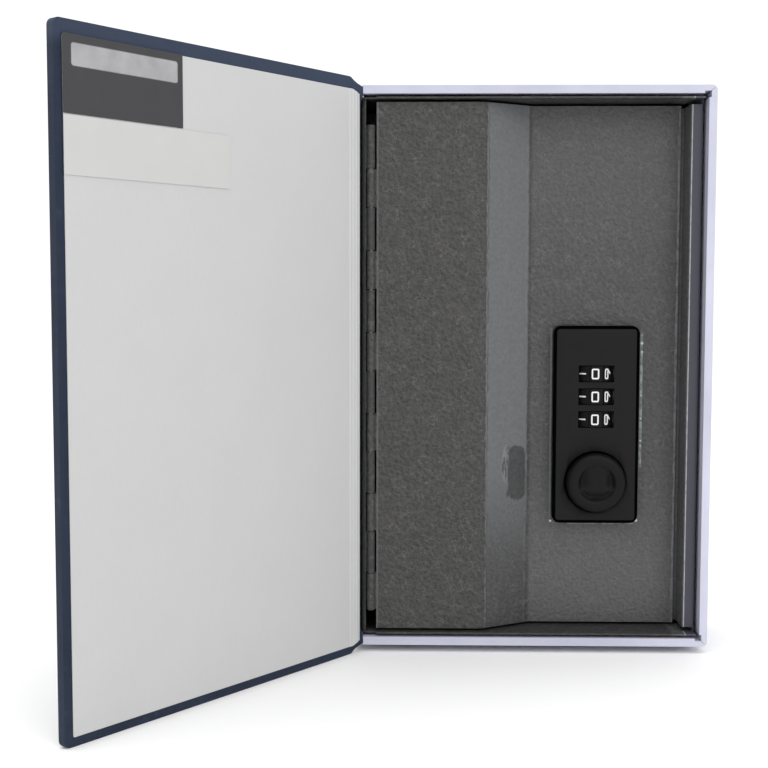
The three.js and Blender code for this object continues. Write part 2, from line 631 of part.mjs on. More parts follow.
function steelBox(parent) {
  const half = SHEET / 2;
  const spans = knuckleSpans();
  const bandEdge = PIN_X - KNUCKLE_RADIUS - BAND_CLEARANCE;
  const back = BLOCK_DEPTH - half;
  const returnMid = RETURN_X + half;
  const line = bentLine(
    [
      [bandEdge, DOOR_HIGH_MID],
      [BOX_LEFT + half, DOOR_HIGH_MID],
      [BOX_LEFT + half, back],
      [BOX_RIGHT - half, back],
      [BOX_RIGHT - half, LIP_DEPTH + half],
      [returnMid, LIP_DEPTH + half],
      [returnMid, STOP_MID],
      [RETURN_X - STOP_LIP_WIDTH, STOP_MID],
    ],
    SHEET_BEND,
  );
  const z0 = BOX_TAIL + SHEET;
  const z1 = BOX_HEAD - SHEET;
  let body = inXY(ribbon(line, SHEET), z0, z1);
  const lipLeft = RETURN_X - STOP_LIP_WIDTH - PAST;
  const lipReach = [lipLeft, BOX_RIGHT - SHEET, LIP_DEPTH - PAST, STOP_MID + SHEET];
  body = body.subtract(box(...lipReach, z0 - PAST, z0 + LIP_END_GAP));
  body = body.subtract(box(...lipReach, z1 - LIP_END_GAP, z1 + PAST));
  body = body.add(knuckles(-1, bandEdge - SHEET, spans.box));
  piece(parent, "box_body", body, "hammertone");

  const notch = DOOR_HIGH_MID - half - SHEET;
  const wall = [
    [BOX_LEFT, BLOCK_DEPTH],
    [BOX_RIGHT, BLOCK_DEPTH],
    [BOX_RIGHT, WALL_SETBACK],
    [doorHingeEdge(), WALL_SETBACK],
    [doorHingeEdge(), notch],
    [BOX_LEFT, notch],
  ];
  piece(parent, "box_end_wall_tail", inXY(wall, BOX_TAIL, z0), "hammertone");
  piece(parent, "box_end_wall_head", inXY(wall, z1, BOX_HEAD), "hammertone");

  const pin = post(PIN_RADIUS, PIN_X, PIN_DEPTH, spans.bottom, spans.top, SMALL_ROUND);
  piece(parent, "hinge_pin", pin, "bareSteel");
}

// The door

const doorHingeEdge = () => PIN_X + KNUCKLE_RADIUS + DOOR_KNUCKLE_CLEARANCE;

function screwPlaces() {
  const ends = [LOCK_HEAD - SCREW_END, LOCK_TAIL + SCREW_END];
  return ends.flatMap((z) => [-SCREW_SIDE, SCREW_SIDE].map((x) => [LOCK_X + x, z]));
}

// The room that the dials need through the plate and the door
function dialRoom(y0, y1) {
  const half = WHEEL_RADIUS + GATE_CLEARANCE;
  return box(LOCK_X - half, LOCK_X + half, y0, y1, DIALS_BOTTOM, DIALS_TOP);
}

function doorPlate(parent) {
  const spans = knuckleSpans();
  const free = RETURN_X - DOOR_SWING_GAP;
  const line = bentLine(
    [
      [doorHingeEdge(), DOOR_HIGH_MID],
      [UPPER_BEND_X, DOOR_HIGH_MID],
      [LOWER_BEND_X, DOOR_LOW_MID],
      [free, DOOR_LOW_MID],
    ],
    DOOR_BEND,
  );
  let door = inXY(ribbon(line, SHEET), DOOR_TAIL, DOOR_HEAD);
  door = door.add(knuckles(1, doorHingeEdge() + SHEET, spans.door));
  door = door.subtract(dialRoom(DOOR_LOW_DEPTH - PAST, DOOR_BACK + PAST));
  const hole = ROTOR_RADIUS + ROTOR_CLEARANCE;
  door = door.subtract(rod(hole, LOCK_X, KNOB_Z, DOOR_LOW_DEPTH - PAST, DOOR_BACK + PAST, LARGE_ROUND));
  for (const [x, z] of screwPlaces()) {
    const radius = SCREW_RADIUS + SCREW_CLEARANCE;
    door = door.subtract(rod(radius, x, z, DOOR_LOW_DEPTH - PAST, DOOR_BACK + PAST, SMALL_ROUND));
  }
  piece(parent, "door_plate", door, "hammertone");
}

// The lock's black front plate, with a window for each dial
function lockFrontPlate(parent) {
  const half = PLATE_WIDTH / 2 - PLATE_BEVEL;
  const outline = roundedRect(
    LOCK_X - half,
    LOCK_X + half,
    LOCK_TAIL + PLATE_BEVEL,
    LOCK_HEAD - PLATE_BEVEL,
    PLATE_CORNER_RADIUS,
    true,
  );
  const back = PLATE_FRONT + PLATE_THICK - LAYER_GAP;
  const shape = new THREE.Shape(outline.map(([u, v]) => new THREE.Vector2(u, v)));
  const bevelled = new THREE.ExtrudeGeometry(shape, {
    depth: PLATE_THICK,
    bevelThickness: PLATE_BEVEL,
    bevelSize: PLATE_BEVEL,
    bevelSegments: 3,
  }).rotateX(Math.PI / 2);
  bevelled.translate(0, PLATE_FRONT + PLATE_BEVEL + PLATE_THICK, 0);
  let plate = solid(bevelled);
  const behind = box(SPINE_X, FORE_X, back, DOOR_BACK + PLATE_THICK, 0, BOOK_HEIGHT);
  plate = plate.subtract(behind);
  plate = plate.subtract(dialRoom(PLATE_FRONT + PLATE_SKIN, back + PAST));
  for (let i = 0; i < DIAL_COUNT; i++) {
    const z = dialZ(i);
    const window = box(
      LOCK_X - WINDOW_WIDTH / 2,
      LOCK_X + WINDOW_WIDTH / 2,
      PLATE_FRONT - PAST,
      PLATE_FRONT + PLATE_SKIN + PAST,
      z - WINDOW_HEIGHT / 2,
      z + WINDOW_HEIGHT / 2,
    );
    plate = plate.subtract(window);
  }
  const bore = ROTOR_RADIUS + ROTOR_CLEARANCE;
  plate = plate.subtract(rod(bore, LOCK_X, KNOB_Z, PLATE_FRONT - PAST, back + PAST, LARGE_ROUND));
  const groove = [PLATE_FRONT - PAST, PLATE_FRONT + KNOB_GROOVE_DEPTH];
  const outside = rod(KNOB_BASE_RADIUS + KNOB_GROOVE / 2, LOCK_X, KNOB_Z, ...groove, FINE_ROUND);
  const inside = rod(KNOB_BASE_RADIUS - KNOB_GROOVE / 2, LOCK_X, KNOB_Z, ...groove, FINE_ROUND);
  plate = plate.subtract(outside.subtract(inside));
  for (const [x, z] of screwPlaces()) {
    const radius = SCREW_RADIUS + SCREW_CLEARANCE;
    plate = plate.subtract(rod(radius, x, z, back - SCREW_BITE, back + PAST, SMALL_ROUND));
  }
  piece(parent, "lock_front_plate", plate, "blackPlastic");
}

// The housing behind the door: a shallow tray, with a tower round the dials
function lockHousing(parent) {
  const tray = HOUSING_WIDTH / 2;
  const trayIn = tray - HOUSING_WALL;
  const tower = TOWER_WIDTH / 2;
  const towerIn = tower - HOUSING_WALL;
  const floor = HOUSING_BACK - HOUSING_WALL;
  const block = (half, y0, y1, z0, z1) => box(LOCK_X - half, LOCK_X + half, y0, y1, z0, z1);
  let housing = block(tray, HOUSING_FRONT, HOUSING_BACK, HOUSING_TAIL, HOUSING_HEAD);
  const trayRoom = [HOUSING_TAIL + HOUSING_WALL, HOUSING_HEAD - HOUSING_WALL];
  housing = housing.subtract(block(trayIn, HOUSING_FRONT - PAST, floor, ...trayRoom));
  for (const [x, z] of screwPlaces()) {
    housing = housing.add(rod(SCREW_BOSS_RADIUS, x, z, HOUSING_FRONT, HOUSING_BACK));
  }
  const ends = [DIALS_BOTTOM - TOWER_WALL, DIALS_TOP + TOWER_WALL];
  housing = housing.add(block(tower, floor, TOWER_BACK, ...ends));
  housing = housing.subtract(block(towerIn, floor - PAST, TOWER_BACK + PAST, DIALS_BOTTOM, DIALS_TOP));
  const lug = AXLE_RADIUS + TOWER_WALL;
  for (const z of [DIALS_BOTTOM - TOWER_WALL, DIALS_TOP]) {
    housing = housing.add(block(lug, HOUSING_FRONT, HOUSING_BACK, z, z + TOWER_WALL));
  }
  const bore = post(AXLE_RADIUS + AXLE_CLEARANCE, LOCK_X, DIAL_DEPTH, 0, BOOK_HEIGHT);
  const aroundAxle = block(lug, HOUSING_FRONT, TOWER_BACK, ends[0] - PAST, ends[1] + PAST);
  housing = housing.subtract(bore.intersect(aroundAxle));
  const rotorBore = ROTOR_RADIUS + ROTOR_CLEARANCE;
  const bored = [floor - PAST, HOUSING_BACK + PAST];
  housing = housing.subtract(rod(rotorBore, LOCK_X, KNOB_Z, ...bored, LARGE_ROUND));
  for (const [x, z] of screwPlaces()) {
    const radius = SCREW_RADIUS + SCREW_CLEARANCE;
    const drilled = [HOUSING_FRONT - PAST, HOUSING_BACK + PAST];
    housing = housing.subtract(rod(radius, x, z, ...drilled, SMALL_ROUND));
  }
  piece(parent, "lock_housing", housing, "blackPlastic");

  const cover = block(tower, TOWER_BACK + LAYER_GAP, TOWER_BACK + LAYER_GAP + BACK_COVER, ...ends);
  const slotHalf = RESET_BUTTON_HEIGHT / 2 + RESET_CLEARANCE;
  const z = (ends[0] + ends[1]) / 2;
  const slot = box(
    resetLeft() - RESET_CLEARANCE,
    resetLeft() + RESET_BUTTON_WIDTH + RESET_TRAVEL + RESET_CLEARANCE,
    TOWER_BACK - PAST,
    TOWER_BACK + BACK_COVER + PAST,
    z - slotHalf,
    z + slotHalf,
  );
  piece(parent, "lock_back_cover", cover.subtract(slot), "zinc");

  piece(parent, "dial_axle", post(AXLE_RADIUS, LOCK_X, DIAL_DEPTH, ...ends), "bareSteel");
}

// A leaf on the tower's side wall, with a finger behind each dial
function detentSpring(parent) {
  const wall = LOCK_X + TOWER_WIDTH / 2 - HOUSING_WALL - LAYER_GAP - SPRING_SHEET / 2;
  const touch = DIAL_DEPTH + WHEEL_RADIUS + SPRING_LIFT + SPRING_SHEET / 2;
  const root = touch + SPRING_BEND;
  const half = SPRING_SHEET / 2;
  const line = [
    [wall, root - SPRING_REACH],
    [wall, root],
    [LOCK_X, touch],
    [LOCK_X - SPRING_TIP, touch + SPRING_SHEET],
  ];
  const finger = ribbon(bentLine(line, SPRING_BEND), SPRING_SHEET);
  const stripBack = root - SPRING_BEND * 2;
  const strip = box(wall - half, wall + half, root - SPRING_REACH, stripBack, DIALS_BOTTOM, DIALS_TOP);
  const fingers = Array.from({ length: DIAL_COUNT }, (_, i) =>
    inXY(finger, dialZ(i) - SPRING_FINGER / 2, dialZ(i) + SPRING_FINGER / 2),
  );
  piece(parent, "detent_spring", union([strip, ...fingers]), "bareSteel");
}

function lockScrews(parent) {
  const tip = PLATE_FRONT + PLATE_THICK - LAYER_GAP - SCREW_BITE + SCREW_CLEARANCE;
  screwPlaces().forEach(([x, z], i) => {
    const headFront = HOUSING_BACK + LAYER_GAP;
    const head = headFront + SCREW_HEAD - LAYER_GAP;
    const profile = [
      [0, tip],
      [SCREW_RADIUS, tip],
      [SCREW_RADIUS, headFront],
      [SCREW_HEAD_RADIUS, headFront],
      [SCREW_HEAD_RADIUS, headFront + SCREW_RIM],
      [SCREW_TOP_RADIUS, head],
      [0, head],
    ];
    const across = SCREW_HEAD_RADIUS;
    const half = SCREW_SLOT_WIDTH / 2;
    const slot = box(x - across, x + across, head - SCREW_SLOT_DEPTH, head + PAST, z - half, z + half);
    const screw = turned(profile, x, z, SMALL_ROUND).subtract(slot);
    piece(parent, `lock_screw_${i + 1}`, screw, "bareSteel");
  });
}

// One dial with ten flats, and the code ring that turns with it. Its own axis is Z.
function dialSolids() {
  const outline = [];
  const stepDeg = 360 / DIGITS;
  const groove = (stepDeg - FACET_DEG) / 2;
  for (let k = 0; k < DIGITS; k++) {
    const middle = k * stepDeg - 90;
    outline.push(...arc(0, 0, WHEEL_RADIUS, middle - FACET_DEG / 2, middle + FACET_DEG / 2, 1));
    const start = middle + FACET_DEG / 2 + groove / 2;
    outline.push(...arc(0, 0, WHEEL_RADIUS - WHEEL_GROOVE, start, start + groove, 1));
  }
  const bore = circle(AXLE_RADIUS + AXLE_CLEARANCE, ROUND);
  const wheel = inXY(outline, -WHEEL_HEIGHT / 2, WHEEL_HEIGHT / 2);
  const low = RING_TOP - RING_HEIGHT;
  const ring = inXY(circle(RING_RADIUS, FINE_ROUND), low, RING_TOP);
  const hole = inXY(bore, low - PAST, WHEEL_HEIGHT);
  const gateMid = (GATE_FRONT + GATE_BACK) / 2 - DIAL_DEPTH;
  const gateHalf = GATE_PLATE / 2 + GATE_CLEARANCE;
  const gate = box(
    -RING_RADIUS - PAST,
    -RING_RADIUS + GATE_DEPTH,
    gateMid - gateHalf,
    gateMid + gateHalf,
    low - PAST,
    RING_TOP + PAST,
  );
  return { wheel: wheel.subtract(hole), ring: ring.subtract(hole).subtract(gate) };
}

function dials(parent) {
  for (let i = 0; i < DIAL_COUNT; i++) {
    const dial = new THREE.Group();
    dial.position.set(LOCK_X, DIAL_DEPTH, dialZ(i));
    const made = dialSolids();
    piece(dial, `dial_wheel_${i + 1}`, made.wheel, "blackPlastic");
    piece(dial, `code_ring_${i + 1}`, made.ring, "brass");
    parent.add(dial);
  }
}

// The knob and what turns with it
function knobAssembly(parent) {
  const base = PLATE_FRONT - LAYER_GAP;
  const face = PLATE_FRONT - KNOB_HEIGHT;
  const spigotEnd = DOOR_LOW_DEPTH;
  const edgeMid = [KNOB_FACE_RADIUS - KNOB_EDGE_RADIUS, face + KNOB_EDGE_RADIUS];
  const edge = arc(...edgeMid, KNOB_EDGE_RADIUS, -90, -10, 5);
  const knob = turned(
    [
      [0, face + DISH_DEPTH],
      [DISH_RADIUS - DISH_SLOPE, face + DISH_DEPTH],
      [DISH_RADIUS, face],
      ...edge,
      [KNOB_BASE_RADIUS, base],
      [ROTOR_RADIUS, base],
      [ROTOR_RADIUS, spigotEnd],
      [0, spigotEnd],
    ],
    LOCK_X,
    KNOB_Z,
    FINE_ROUND,
  );
  const grip = box(
    LOCK_X - GRIP_WIDTH / 2,
    LOCK_X + GRIP_WIDTH / 2,
    face + GRIP_DROP,
    face + DISH_DEPTH + DISH_SLOPE,
    KNOB_Z - DISH_RADIUS + GRIP_FOOT,
    KNOB_Z + DISH_RADIUS,
  );
  piece(parent, "knob", knob.add(grip), "blackPlastic");

  const discFront = (GATE_FRONT + GATE_BACK - ROTOR_DISC) / 2;
  const shoulder = CAM_FRONT - ROTOR_END_GAP;
  const camBack = CAM_FRONT + CAM_SHEET;
  const washerBack = camBack + ROTOR_END_GAP + WASHER;
  const nutBack = washerBack + ROTOR_END_GAP + NUT;
  const body = turned(
    [
      [0, spigotEnd + ROTOR_END_GAP],
      [ROTOR_RADIUS, spigotEnd + ROTOR_END_GAP],
      [ROTOR_RADIUS, discFront],
      [ROTOR_DISC_RADIUS, discFront],
      [ROTOR_DISC_RADIUS, discFront + ROTOR_DISC],
      [ROTOR_RADIUS, discFront + ROTOR_DISC],
      [ROTOR_RADIUS, shoulder],
      [STUD_RADIUS, shoulder],
      [STUD_RADIUS, nutBack + STUD_END],
      [0, nutBack + STUD_END],
    ],
    LOCK_X,
    KNOB_Z,
  );
  const square = (half, y0, y1) =>
    box(LOCK_X - half, LOCK_X + half, y0, y1, KNOB_Z - half, KNOB_Z + half);
  const notchHalf = ROTOR_TOOTH / 2 + GATE_CLEARANCE;
  const notchFloor = ROTOR_DISC_RADIUS - GATE_TRAVEL - GATE_CLEARANCE;
  const disc = [discFront, discFront + ROTOR_DISC];
  const unlockedNotch = box(notchFloor, ROTOR_DISC_RADIUS + PAST, ...disc, -notchHalf, notchHalf);
  const lockedNotch = box(-notchHalf, notchHalf, ...disc, -ROTOR_DISC_RADIUS - PAST, -notchFloor);
  const notches = unlockedNotch.add(lockedNotch).translate([LOCK_X, 0, KNOB_Z]);
  const rotor = body.add(square(STUD_SQUARE / 2, shoulder - PAST, camBack)).subtract(notches);
  piece(parent, "latch_rotor", rotor, "zinc");

  const mid = CAM_FRONT + CAM_SHEET / 2;
  const catchMid = STOP_MID + SHEET / 2 + CAM_LIP_GAP + CAM_SHEET / 2;
  const armLine = bentLine(
    [
      [mid, KNOB_Z + CAM_WIDTH / 2],
      [mid, KNOB_Z - CAM_JOGGLE_START],
      [catchMid, KNOB_Z - CAM_JOGGLE_END],
      [catchMid, KNOB_Z - CAM_REACH],
    ],
    CAM_SHEET / 2,
  );
  const half = CAM_WIDTH / 2;
  const arm = inYZ(ribbon(armLine, CAM_SHEET), LOCK_X - half, LOCK_X + half);
  const rounding = inXZ(
    [
      ...arc(LOCK_X, KNOB_Z, half, 0, 180, 16),
      [LOCK_X - half, KNOB_Z - CAM_REACH - PAST],
      [LOCK_X + half, KNOB_Z - CAM_REACH - PAST],
    ],
    0,
    BLOCK_DEPTH,
  );
  const cam = arm
    .intersect(rounding)
    .subtract(square(STUD_SQUARE / 2 + STUD_CLEARANCE, CAM_FRONT - PAST, camBack + PAST));
  piece(parent, "latch_cam", cam, "bareSteel");

  const washerFront = camBack + ROTOR_END_GAP;
  const holeEnds = [washerFront - PAST, nutBack + PAST];
  const washerHole = rod(STUD_RADIUS + STUD_CLEARANCE, LOCK_X, KNOB_Z, ...holeEnds);
  const washerDisc = rod(WASHER_RADIUS, LOCK_X, KNOB_Z, washerFront, washerBack, LARGE_ROUND);
  const washer = washerDisc.subtract(washerHole);
  piece(parent, "cam_washer", washer, "bareSteel");
  const corner = NUT_ACROSS_FLATS / Math.sqrt(3);
  const nut = rod(corner, LOCK_X, KNOB_Z, washerBack + ROTOR_END_GAP, nutBack, NUT_SIDES);
  piece(parent, "cam_nut", nut.subtract(washerHole), "bareSteel");
}

// The flat slide between the dials' code rings and the rotor. Its teeth enter the gates at one end of its
// travel, and its inner tooth blocks the rotor at the other.
function gatePlate(parent) {
  const barRight = -WHEEL_RADIUS - GATE_TRAVEL - GATE_CLEARANCE;
  const barLeft = barRight - GATE_BAR;
  const toothEnd = -RING_RADIUS - GATE_CLEARANCE;
  const openRadius = ROTOR_DISC_RADIUS + GATE_TRAVEL + GATE_CLEARANCE;
  const slab = (x0, x1, z0, z1) => box(LOCK_X + x0, LOCK_X + x1, GATE_FRONT, GATE_BACK, z0, z1);
  const toothZ = (i) => dialZ(i) + RING_MID;
  const teeth = Array.from({ length: DIAL_COUNT }, (_, i) =>
    slab(barLeft, toothEnd, toothZ(i) - GATE_TOOTH / 2, toothZ(i) + GATE_TOOTH / 2),
  );
  const bar = slab(barLeft, barRight, KNOB_Z, toothZ(0) + GATE_TOOTH);
  const shoulder = slab(barLeft, -ROTOR_DISC_RADIUS, KNOB_Z, KNOB_Z + openRadius);
  const ring = rod(openRadius + GATE_FRAME, LOCK_X, KNOB_Z, GATE_FRONT, GATE_BACK, LARGE_ROUND);
  const opening = rod(openRadius, LOCK_X, KNOB_Z, GATE_FRONT - PAST, GATE_BACK + PAST, LARGE_ROUND);
  const blocker = slab(
    ROTOR_DISC_RADIUS + GATE_CLEARANCE,
    openRadius + GATE_FRAME / 2,
    KNOB_Z - ROTOR_TOOTH / 2,
    KNOB_Z + ROTOR_TOOTH / 2,
  );
  const plate = union([bar, shoulder, ring]).subtract(opening);
  piece(parent, "gate_plate", union([plate, blocker, ...teeth]), "brass");
}

// The slider on the back of the lock that sets a new code
const resetLeft = () => LOCK_X - RESET_TRAVEL / 2 - RESET_BUTTON_WIDTH / 2;

function resetSlider(parent) {
  const z = (DIALS_BOTTOM + DIALS_TOP) / 2;
  const middle = resetLeft() + RESET_BUTTON_WIDTH / 2;
  const back = TOWER_BACK - LAYER_GAP;
  const plate = box(
    middle - RESET_PLATE_WIDTH / 2,
    middle + RESET_PLATE_WIDTH / 2,
    back - RESET_PLATE,
    back,
    z - RESET_PLATE_HEIGHT / 2,
    z + RESET_PLATE_HEIGHT / 2,
  );
  const button = box(
    resetLeft(),
    resetLeft() + RESET_BUTTON_WIDTH,
    back - RESET_PLATE / 2,
    TOWER_BACK + LAYER_GAP + BACK_COVER + RESET_BUTTON_PROUD,
    z - RESET_BUTTON_HEIGHT / 2,
    z + RESET_BUTTON_HEIGHT / 2,
  );
  piece(parent, "reset_slider", plate.add(button), "blackPlastic");
}

const safe = new THREE.Group();
backCase(safe);

const cover = new THREE.Group();
cover.position.set(HINGE_X, HINGE_Y, 0);
cover.rotation.z = -THREE.MathUtils.degToRad(COVER_OPEN_DEG);
frontCover(cover);
safe.add(cover);

const block = new THREE.Group();
block.position.y = FRONT_Y;
pageStrips(block);
steelBox(block);
safe.add(block);

const door = new THREE.Group();
doorPlate(door);
lockFrontPlate(door);
lockHousing(door);
detentSpring(door);
lockScrews(door);
dials(door);
knobAssembly(door);
gatePlate(door);
resetSlider(door);
block.add(door);

export default safe;
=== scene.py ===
# %% [markdown]
# # A book that hides a steel box
# From outside this is a hardback book. Its page block is a strongbox: a painted steel tray with a
# hinged door, a three-dial lock, and white strips that pass for the edges of the pages. The solids
# come from the CAD frame, in metres. This lesson gives them softened edges and finishes, and swaps
# a few of them for shapes with more detail.

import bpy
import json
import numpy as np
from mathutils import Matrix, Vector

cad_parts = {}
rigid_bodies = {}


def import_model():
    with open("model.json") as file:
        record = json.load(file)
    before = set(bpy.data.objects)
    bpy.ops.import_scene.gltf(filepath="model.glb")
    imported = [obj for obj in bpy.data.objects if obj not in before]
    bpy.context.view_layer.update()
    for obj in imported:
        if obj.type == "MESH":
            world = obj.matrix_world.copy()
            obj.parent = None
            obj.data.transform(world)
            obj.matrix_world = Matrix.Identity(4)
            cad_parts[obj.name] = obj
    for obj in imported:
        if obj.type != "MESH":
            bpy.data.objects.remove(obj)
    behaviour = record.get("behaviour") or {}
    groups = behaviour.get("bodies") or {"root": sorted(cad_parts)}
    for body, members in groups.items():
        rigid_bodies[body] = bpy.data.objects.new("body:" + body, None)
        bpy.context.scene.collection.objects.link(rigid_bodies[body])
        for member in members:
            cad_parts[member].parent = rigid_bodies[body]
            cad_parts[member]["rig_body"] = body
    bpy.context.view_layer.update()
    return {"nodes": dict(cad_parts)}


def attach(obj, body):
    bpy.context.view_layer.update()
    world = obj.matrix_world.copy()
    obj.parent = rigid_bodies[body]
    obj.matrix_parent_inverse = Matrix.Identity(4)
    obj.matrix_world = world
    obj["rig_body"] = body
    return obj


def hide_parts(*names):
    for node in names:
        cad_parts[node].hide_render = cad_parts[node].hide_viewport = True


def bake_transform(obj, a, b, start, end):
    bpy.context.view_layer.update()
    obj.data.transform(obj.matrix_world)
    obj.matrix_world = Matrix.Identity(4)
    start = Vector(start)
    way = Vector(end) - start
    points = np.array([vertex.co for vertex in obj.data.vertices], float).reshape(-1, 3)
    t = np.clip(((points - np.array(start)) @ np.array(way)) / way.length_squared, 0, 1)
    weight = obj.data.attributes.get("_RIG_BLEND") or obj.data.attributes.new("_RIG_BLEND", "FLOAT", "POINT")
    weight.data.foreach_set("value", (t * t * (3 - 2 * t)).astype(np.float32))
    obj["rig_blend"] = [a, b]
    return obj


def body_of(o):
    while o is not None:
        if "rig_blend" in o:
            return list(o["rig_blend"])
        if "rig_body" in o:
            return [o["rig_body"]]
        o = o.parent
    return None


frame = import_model()
print("solids in the frame:", len(frame["nodes"]))

# %% Tools used all through
import json
import math

import bmesh
import bpy
import numpy as np
from mathutils import Matrix, Vector

MM = 0.001
scene = bpy.context.scene

# %% [markdown]
# ## The camera
# The photograph was taken from the left of the page block and a little above its middle, half a
# metre away. A camera could be aimed at the object with a constraint, but then its place would
# depend on the aim. Here its place and its three turns are written out, as they were worked out
# from the edges of the book: turn about the upright, then tilt, then roll.

# %% Camera
CAMERA_PLACE = (-53.78, -578.5, 151.8)
CAMERA_TURNS_DEG = (1.08, -4.1, -0.08)
CAMERA_LENS = 59.56
SENSOR = 36


def turn(degrees, axis):
    """A turn about one axis, as a 4 by 4 matrix."""
    return Matrix.Rotation(math.radians(degrees), 4, axis)


def photo_camera():
    """The camera looks along +Y before its turns: yaw about Z, pitch about X, roll about Y."""
    lens = bpy.data.cameras.new("photo_camera")
    lens.lens = CAMERA_LENS
    lens.sensor_width = SENSOR
    camera = bpy.data.objects.new("photo_camera", lens)
    yaw, pitch, roll = CAMERA_TURNS_DEG
    aim = turn(yaw, "Z") @ turn(pitch, "X") @ turn(roll, "Y")
    upright = turn(90, "X")
    place = Matrix.Translation([v * MM for v in CAMERA_PLACE])
    camera.matrix_world = place @ aim @ upright
    scene.collection.objects.link(camera)
    return camera


scene.camera = photo_camera()
print("camera stands at", [round(v, 3) for v in scene.camera.location])

# %% [markdown]
# ## Light
# The photograph is a plain product picture: white all round, with soft light that comes mostly from
# the front and from above. A white world gives the even part, and two large area lights give the
# direction. One small lamp would cast hard shadows, which the photograph doesn't have.

# %% Light
WORLD_STRENGTH = 1.06


def vector_turn(direction):
    """The turn that points an object's +Z along a direction."""
    return Vector(direction).to_track_quat("Z", "Y").to_matrix().to_4x4()


def soft_light(name, place, target, size, power):
    """A square lamp that faces its target. A larger square gives a softer shadow."""
    lamp = bpy.data.lights.new(name, "AREA")
    lamp.size = size
    lamp.energy = power
    light = bpy.data.objects.new(name, lamp)
    away = np.array(place) - np.array(target)
    light.matrix_world = Matrix.Translation(place) @ vector_turn(away)
    scene.collection.objects.link(light)


def white_world():
    """The same white light from every side."""
    world = bpy.data.worlds.new("white_studio")
    world.use_nodes = True
    sky = world.node_tree.nodes["Background"]
    sky.inputs["Color"].default_value = (1, 1, 1, 1)
    sky.inputs["Strength"].default_value = WORLD_STRENGTH
    scene.world = world


scene.view_settings.view_transform = "Standard"
white_world()
soft_light("front_light", place=(0.7, -1.3, 1.1), target=(0, 0, 0.12), size=1.0, power=5.5)
soft_light("top_light", place=(-0.2, -0.2, 1.6), target=(0, 0, 0.1), size=1.2, power=7.5)

# %% [markdown]
# ## Shader maths as plain sums
# A finish is a small network of nodes. Wiring each Math node by hand hides what the network works
# out, so a `Value` wraps one socket and Python's own signs add the nodes. `Finish.node` makes every
# other kind: its settings are set first, and then its sockets get numbers or links.


# %% Values
class Value:
    """One socket of a finish. +, -, *, ** and abs() on it add Math nodes."""

    def __init__(self, finish, socket):
        self.finish, self.socket = finish, socket

    def math(self, operation, *numbers):
        return self.finish.node("Math", {"operation": operation}, dict(enumerate(numbers)))

    def __add__(self, other):
        return self.math("ADD", self, other)

    def __sub__(self, other):
        return self.math("SUBTRACT", self, other)

    def __rsub__(self, other):
        return self.math("SUBTRACT", other, self)

    def __mul__(self, other):
        return self.math("MULTIPLY", self, other)

    def __pow__(self, other):
        return self.math("POWER", self, other)

    def __abs__(self):
        return self.math("ABSOLUTE", self)

    __radd__ = __add__
    __rmul__ = __mul__

    def sine(self):
        return self.math("SINE", self)

    def at_least(self, other):
        return self.math("MAXIMUM", self, other)

    def rise(self, start, end):
        """0 before start, 1 after end, and a smooth slope between."""
        limits = {"Value": self, "From Min": start, "From Max": end}
        return self.finish.node("MapRange", {"interpolation_type": "SMOOTHSTEP"}, limits)


print("signs that a value understands: +, -, *, ** and abs()")


# %% Finishes
class Finish:
    """One material, built up node by node."""

    def __init__(self, name):
        self.material = bpy.data.materials.new(name)
        self.material.use_nodes = True
        self.tree = self.material.node_tree
        self.tree.nodes.clear()

    def node(self, kind, settings=None, sockets=None, output=0):
        made = self.tree.nodes.new("ShaderNode" + kind)
        for key, setting in (settings or {}).items():
            setattr(made, key, setting)
        for key, given in (sockets or {}).items():
            socket = self.socket(made.inputs, key)
            if isinstance(given, Value):
                self.tree.links.new(given.socket, socket)
            else:
                socket.default_value = given
        return Value(self, self.socket(made.outputs, output)) if made.outputs else made

    def socket(self, sockets, key):
        """A socket by its number or by its identifier, which stays clear where two share a name."""
        if isinstance(key, int):
            return sockets[key]
        return next(s for s in sockets if key in (s.identifier, s.name))

    def place(self, stretch=(1, 1, 1)):
        """The place on the piece in millimetres, stretched."""
        at = self.node("TexCoord", output="Object")
        return self.node("Mapping", None, {"Vector": at, "Scale": tuple(s / MM for s in stretch)})

    def flat_place(self, stretch=(1, 1, 1)):
        """The place on the unrolled sheet in millimetres, from the piece's own UV map."""
        at = self.node("UVMap", {"uv_map": "millimetres"})
        return self.node("Mapping", None, {"Vector": at, "Scale": stretch})

    def parts(self, vector):
        """The three numbers of a vector."""
        split = self.node("SeparateXYZ", None, {"Vector": vector})
        outputs = split.socket.node.outputs
        return [Value(self, outputs[i]) for i in range(3)]

    def noise(self, vector, size, detail=3, rough=0.5, seed=0.0):
        """Cloudy noise from 0 to 1. Size is the width of its clouds in millimetres."""
        sockets = {"Vector": vector, "W": seed, "Scale": 1 / size}
        sockets |= {"Detail": detail, "Roughness": rough}
        return self.node("TexNoise", {"noise_dimensions": "4D"}, sockets)

    def mix(self, amount, first, second):
        """A colour between two: the first at 0 and the second at 1."""
        sockets = {"Factor_Float": amount, "A_Color": first, "B_Color": second}
        return self.node("Mix", {"data_type": "RGBA"}, sockets, "Result_Color")

    def layered(self, colour, *layers):
        """Each layer, a mask and a tone, covers the colours below it where its mask is 1."""
        for mask, tone in layers:
            colour = self.mix(mask, colour, tone)
        return colour

    def coat(self, colour, roughness, height=None, depth=0.1, **fixed):
        """Closes the finish: height from 0 to 1 stands depth millimetres proud."""
        sockets = {"Base Color": colour, "Roughness": roughness, **fixed}
        if height is not None:
            relief = {"Strength": 1.0, "Distance": depth * MM, "Height": height}
            sockets["Normal"] = self.node("Bump", None, relief)
        surface = self.node("BsdfPrincipled", None, sockets)
        self.node("OutputMaterial", None, {"Surface": surface})
        return self.material


SHINE = "Specular IOR Level"
print("finish helpers ready")

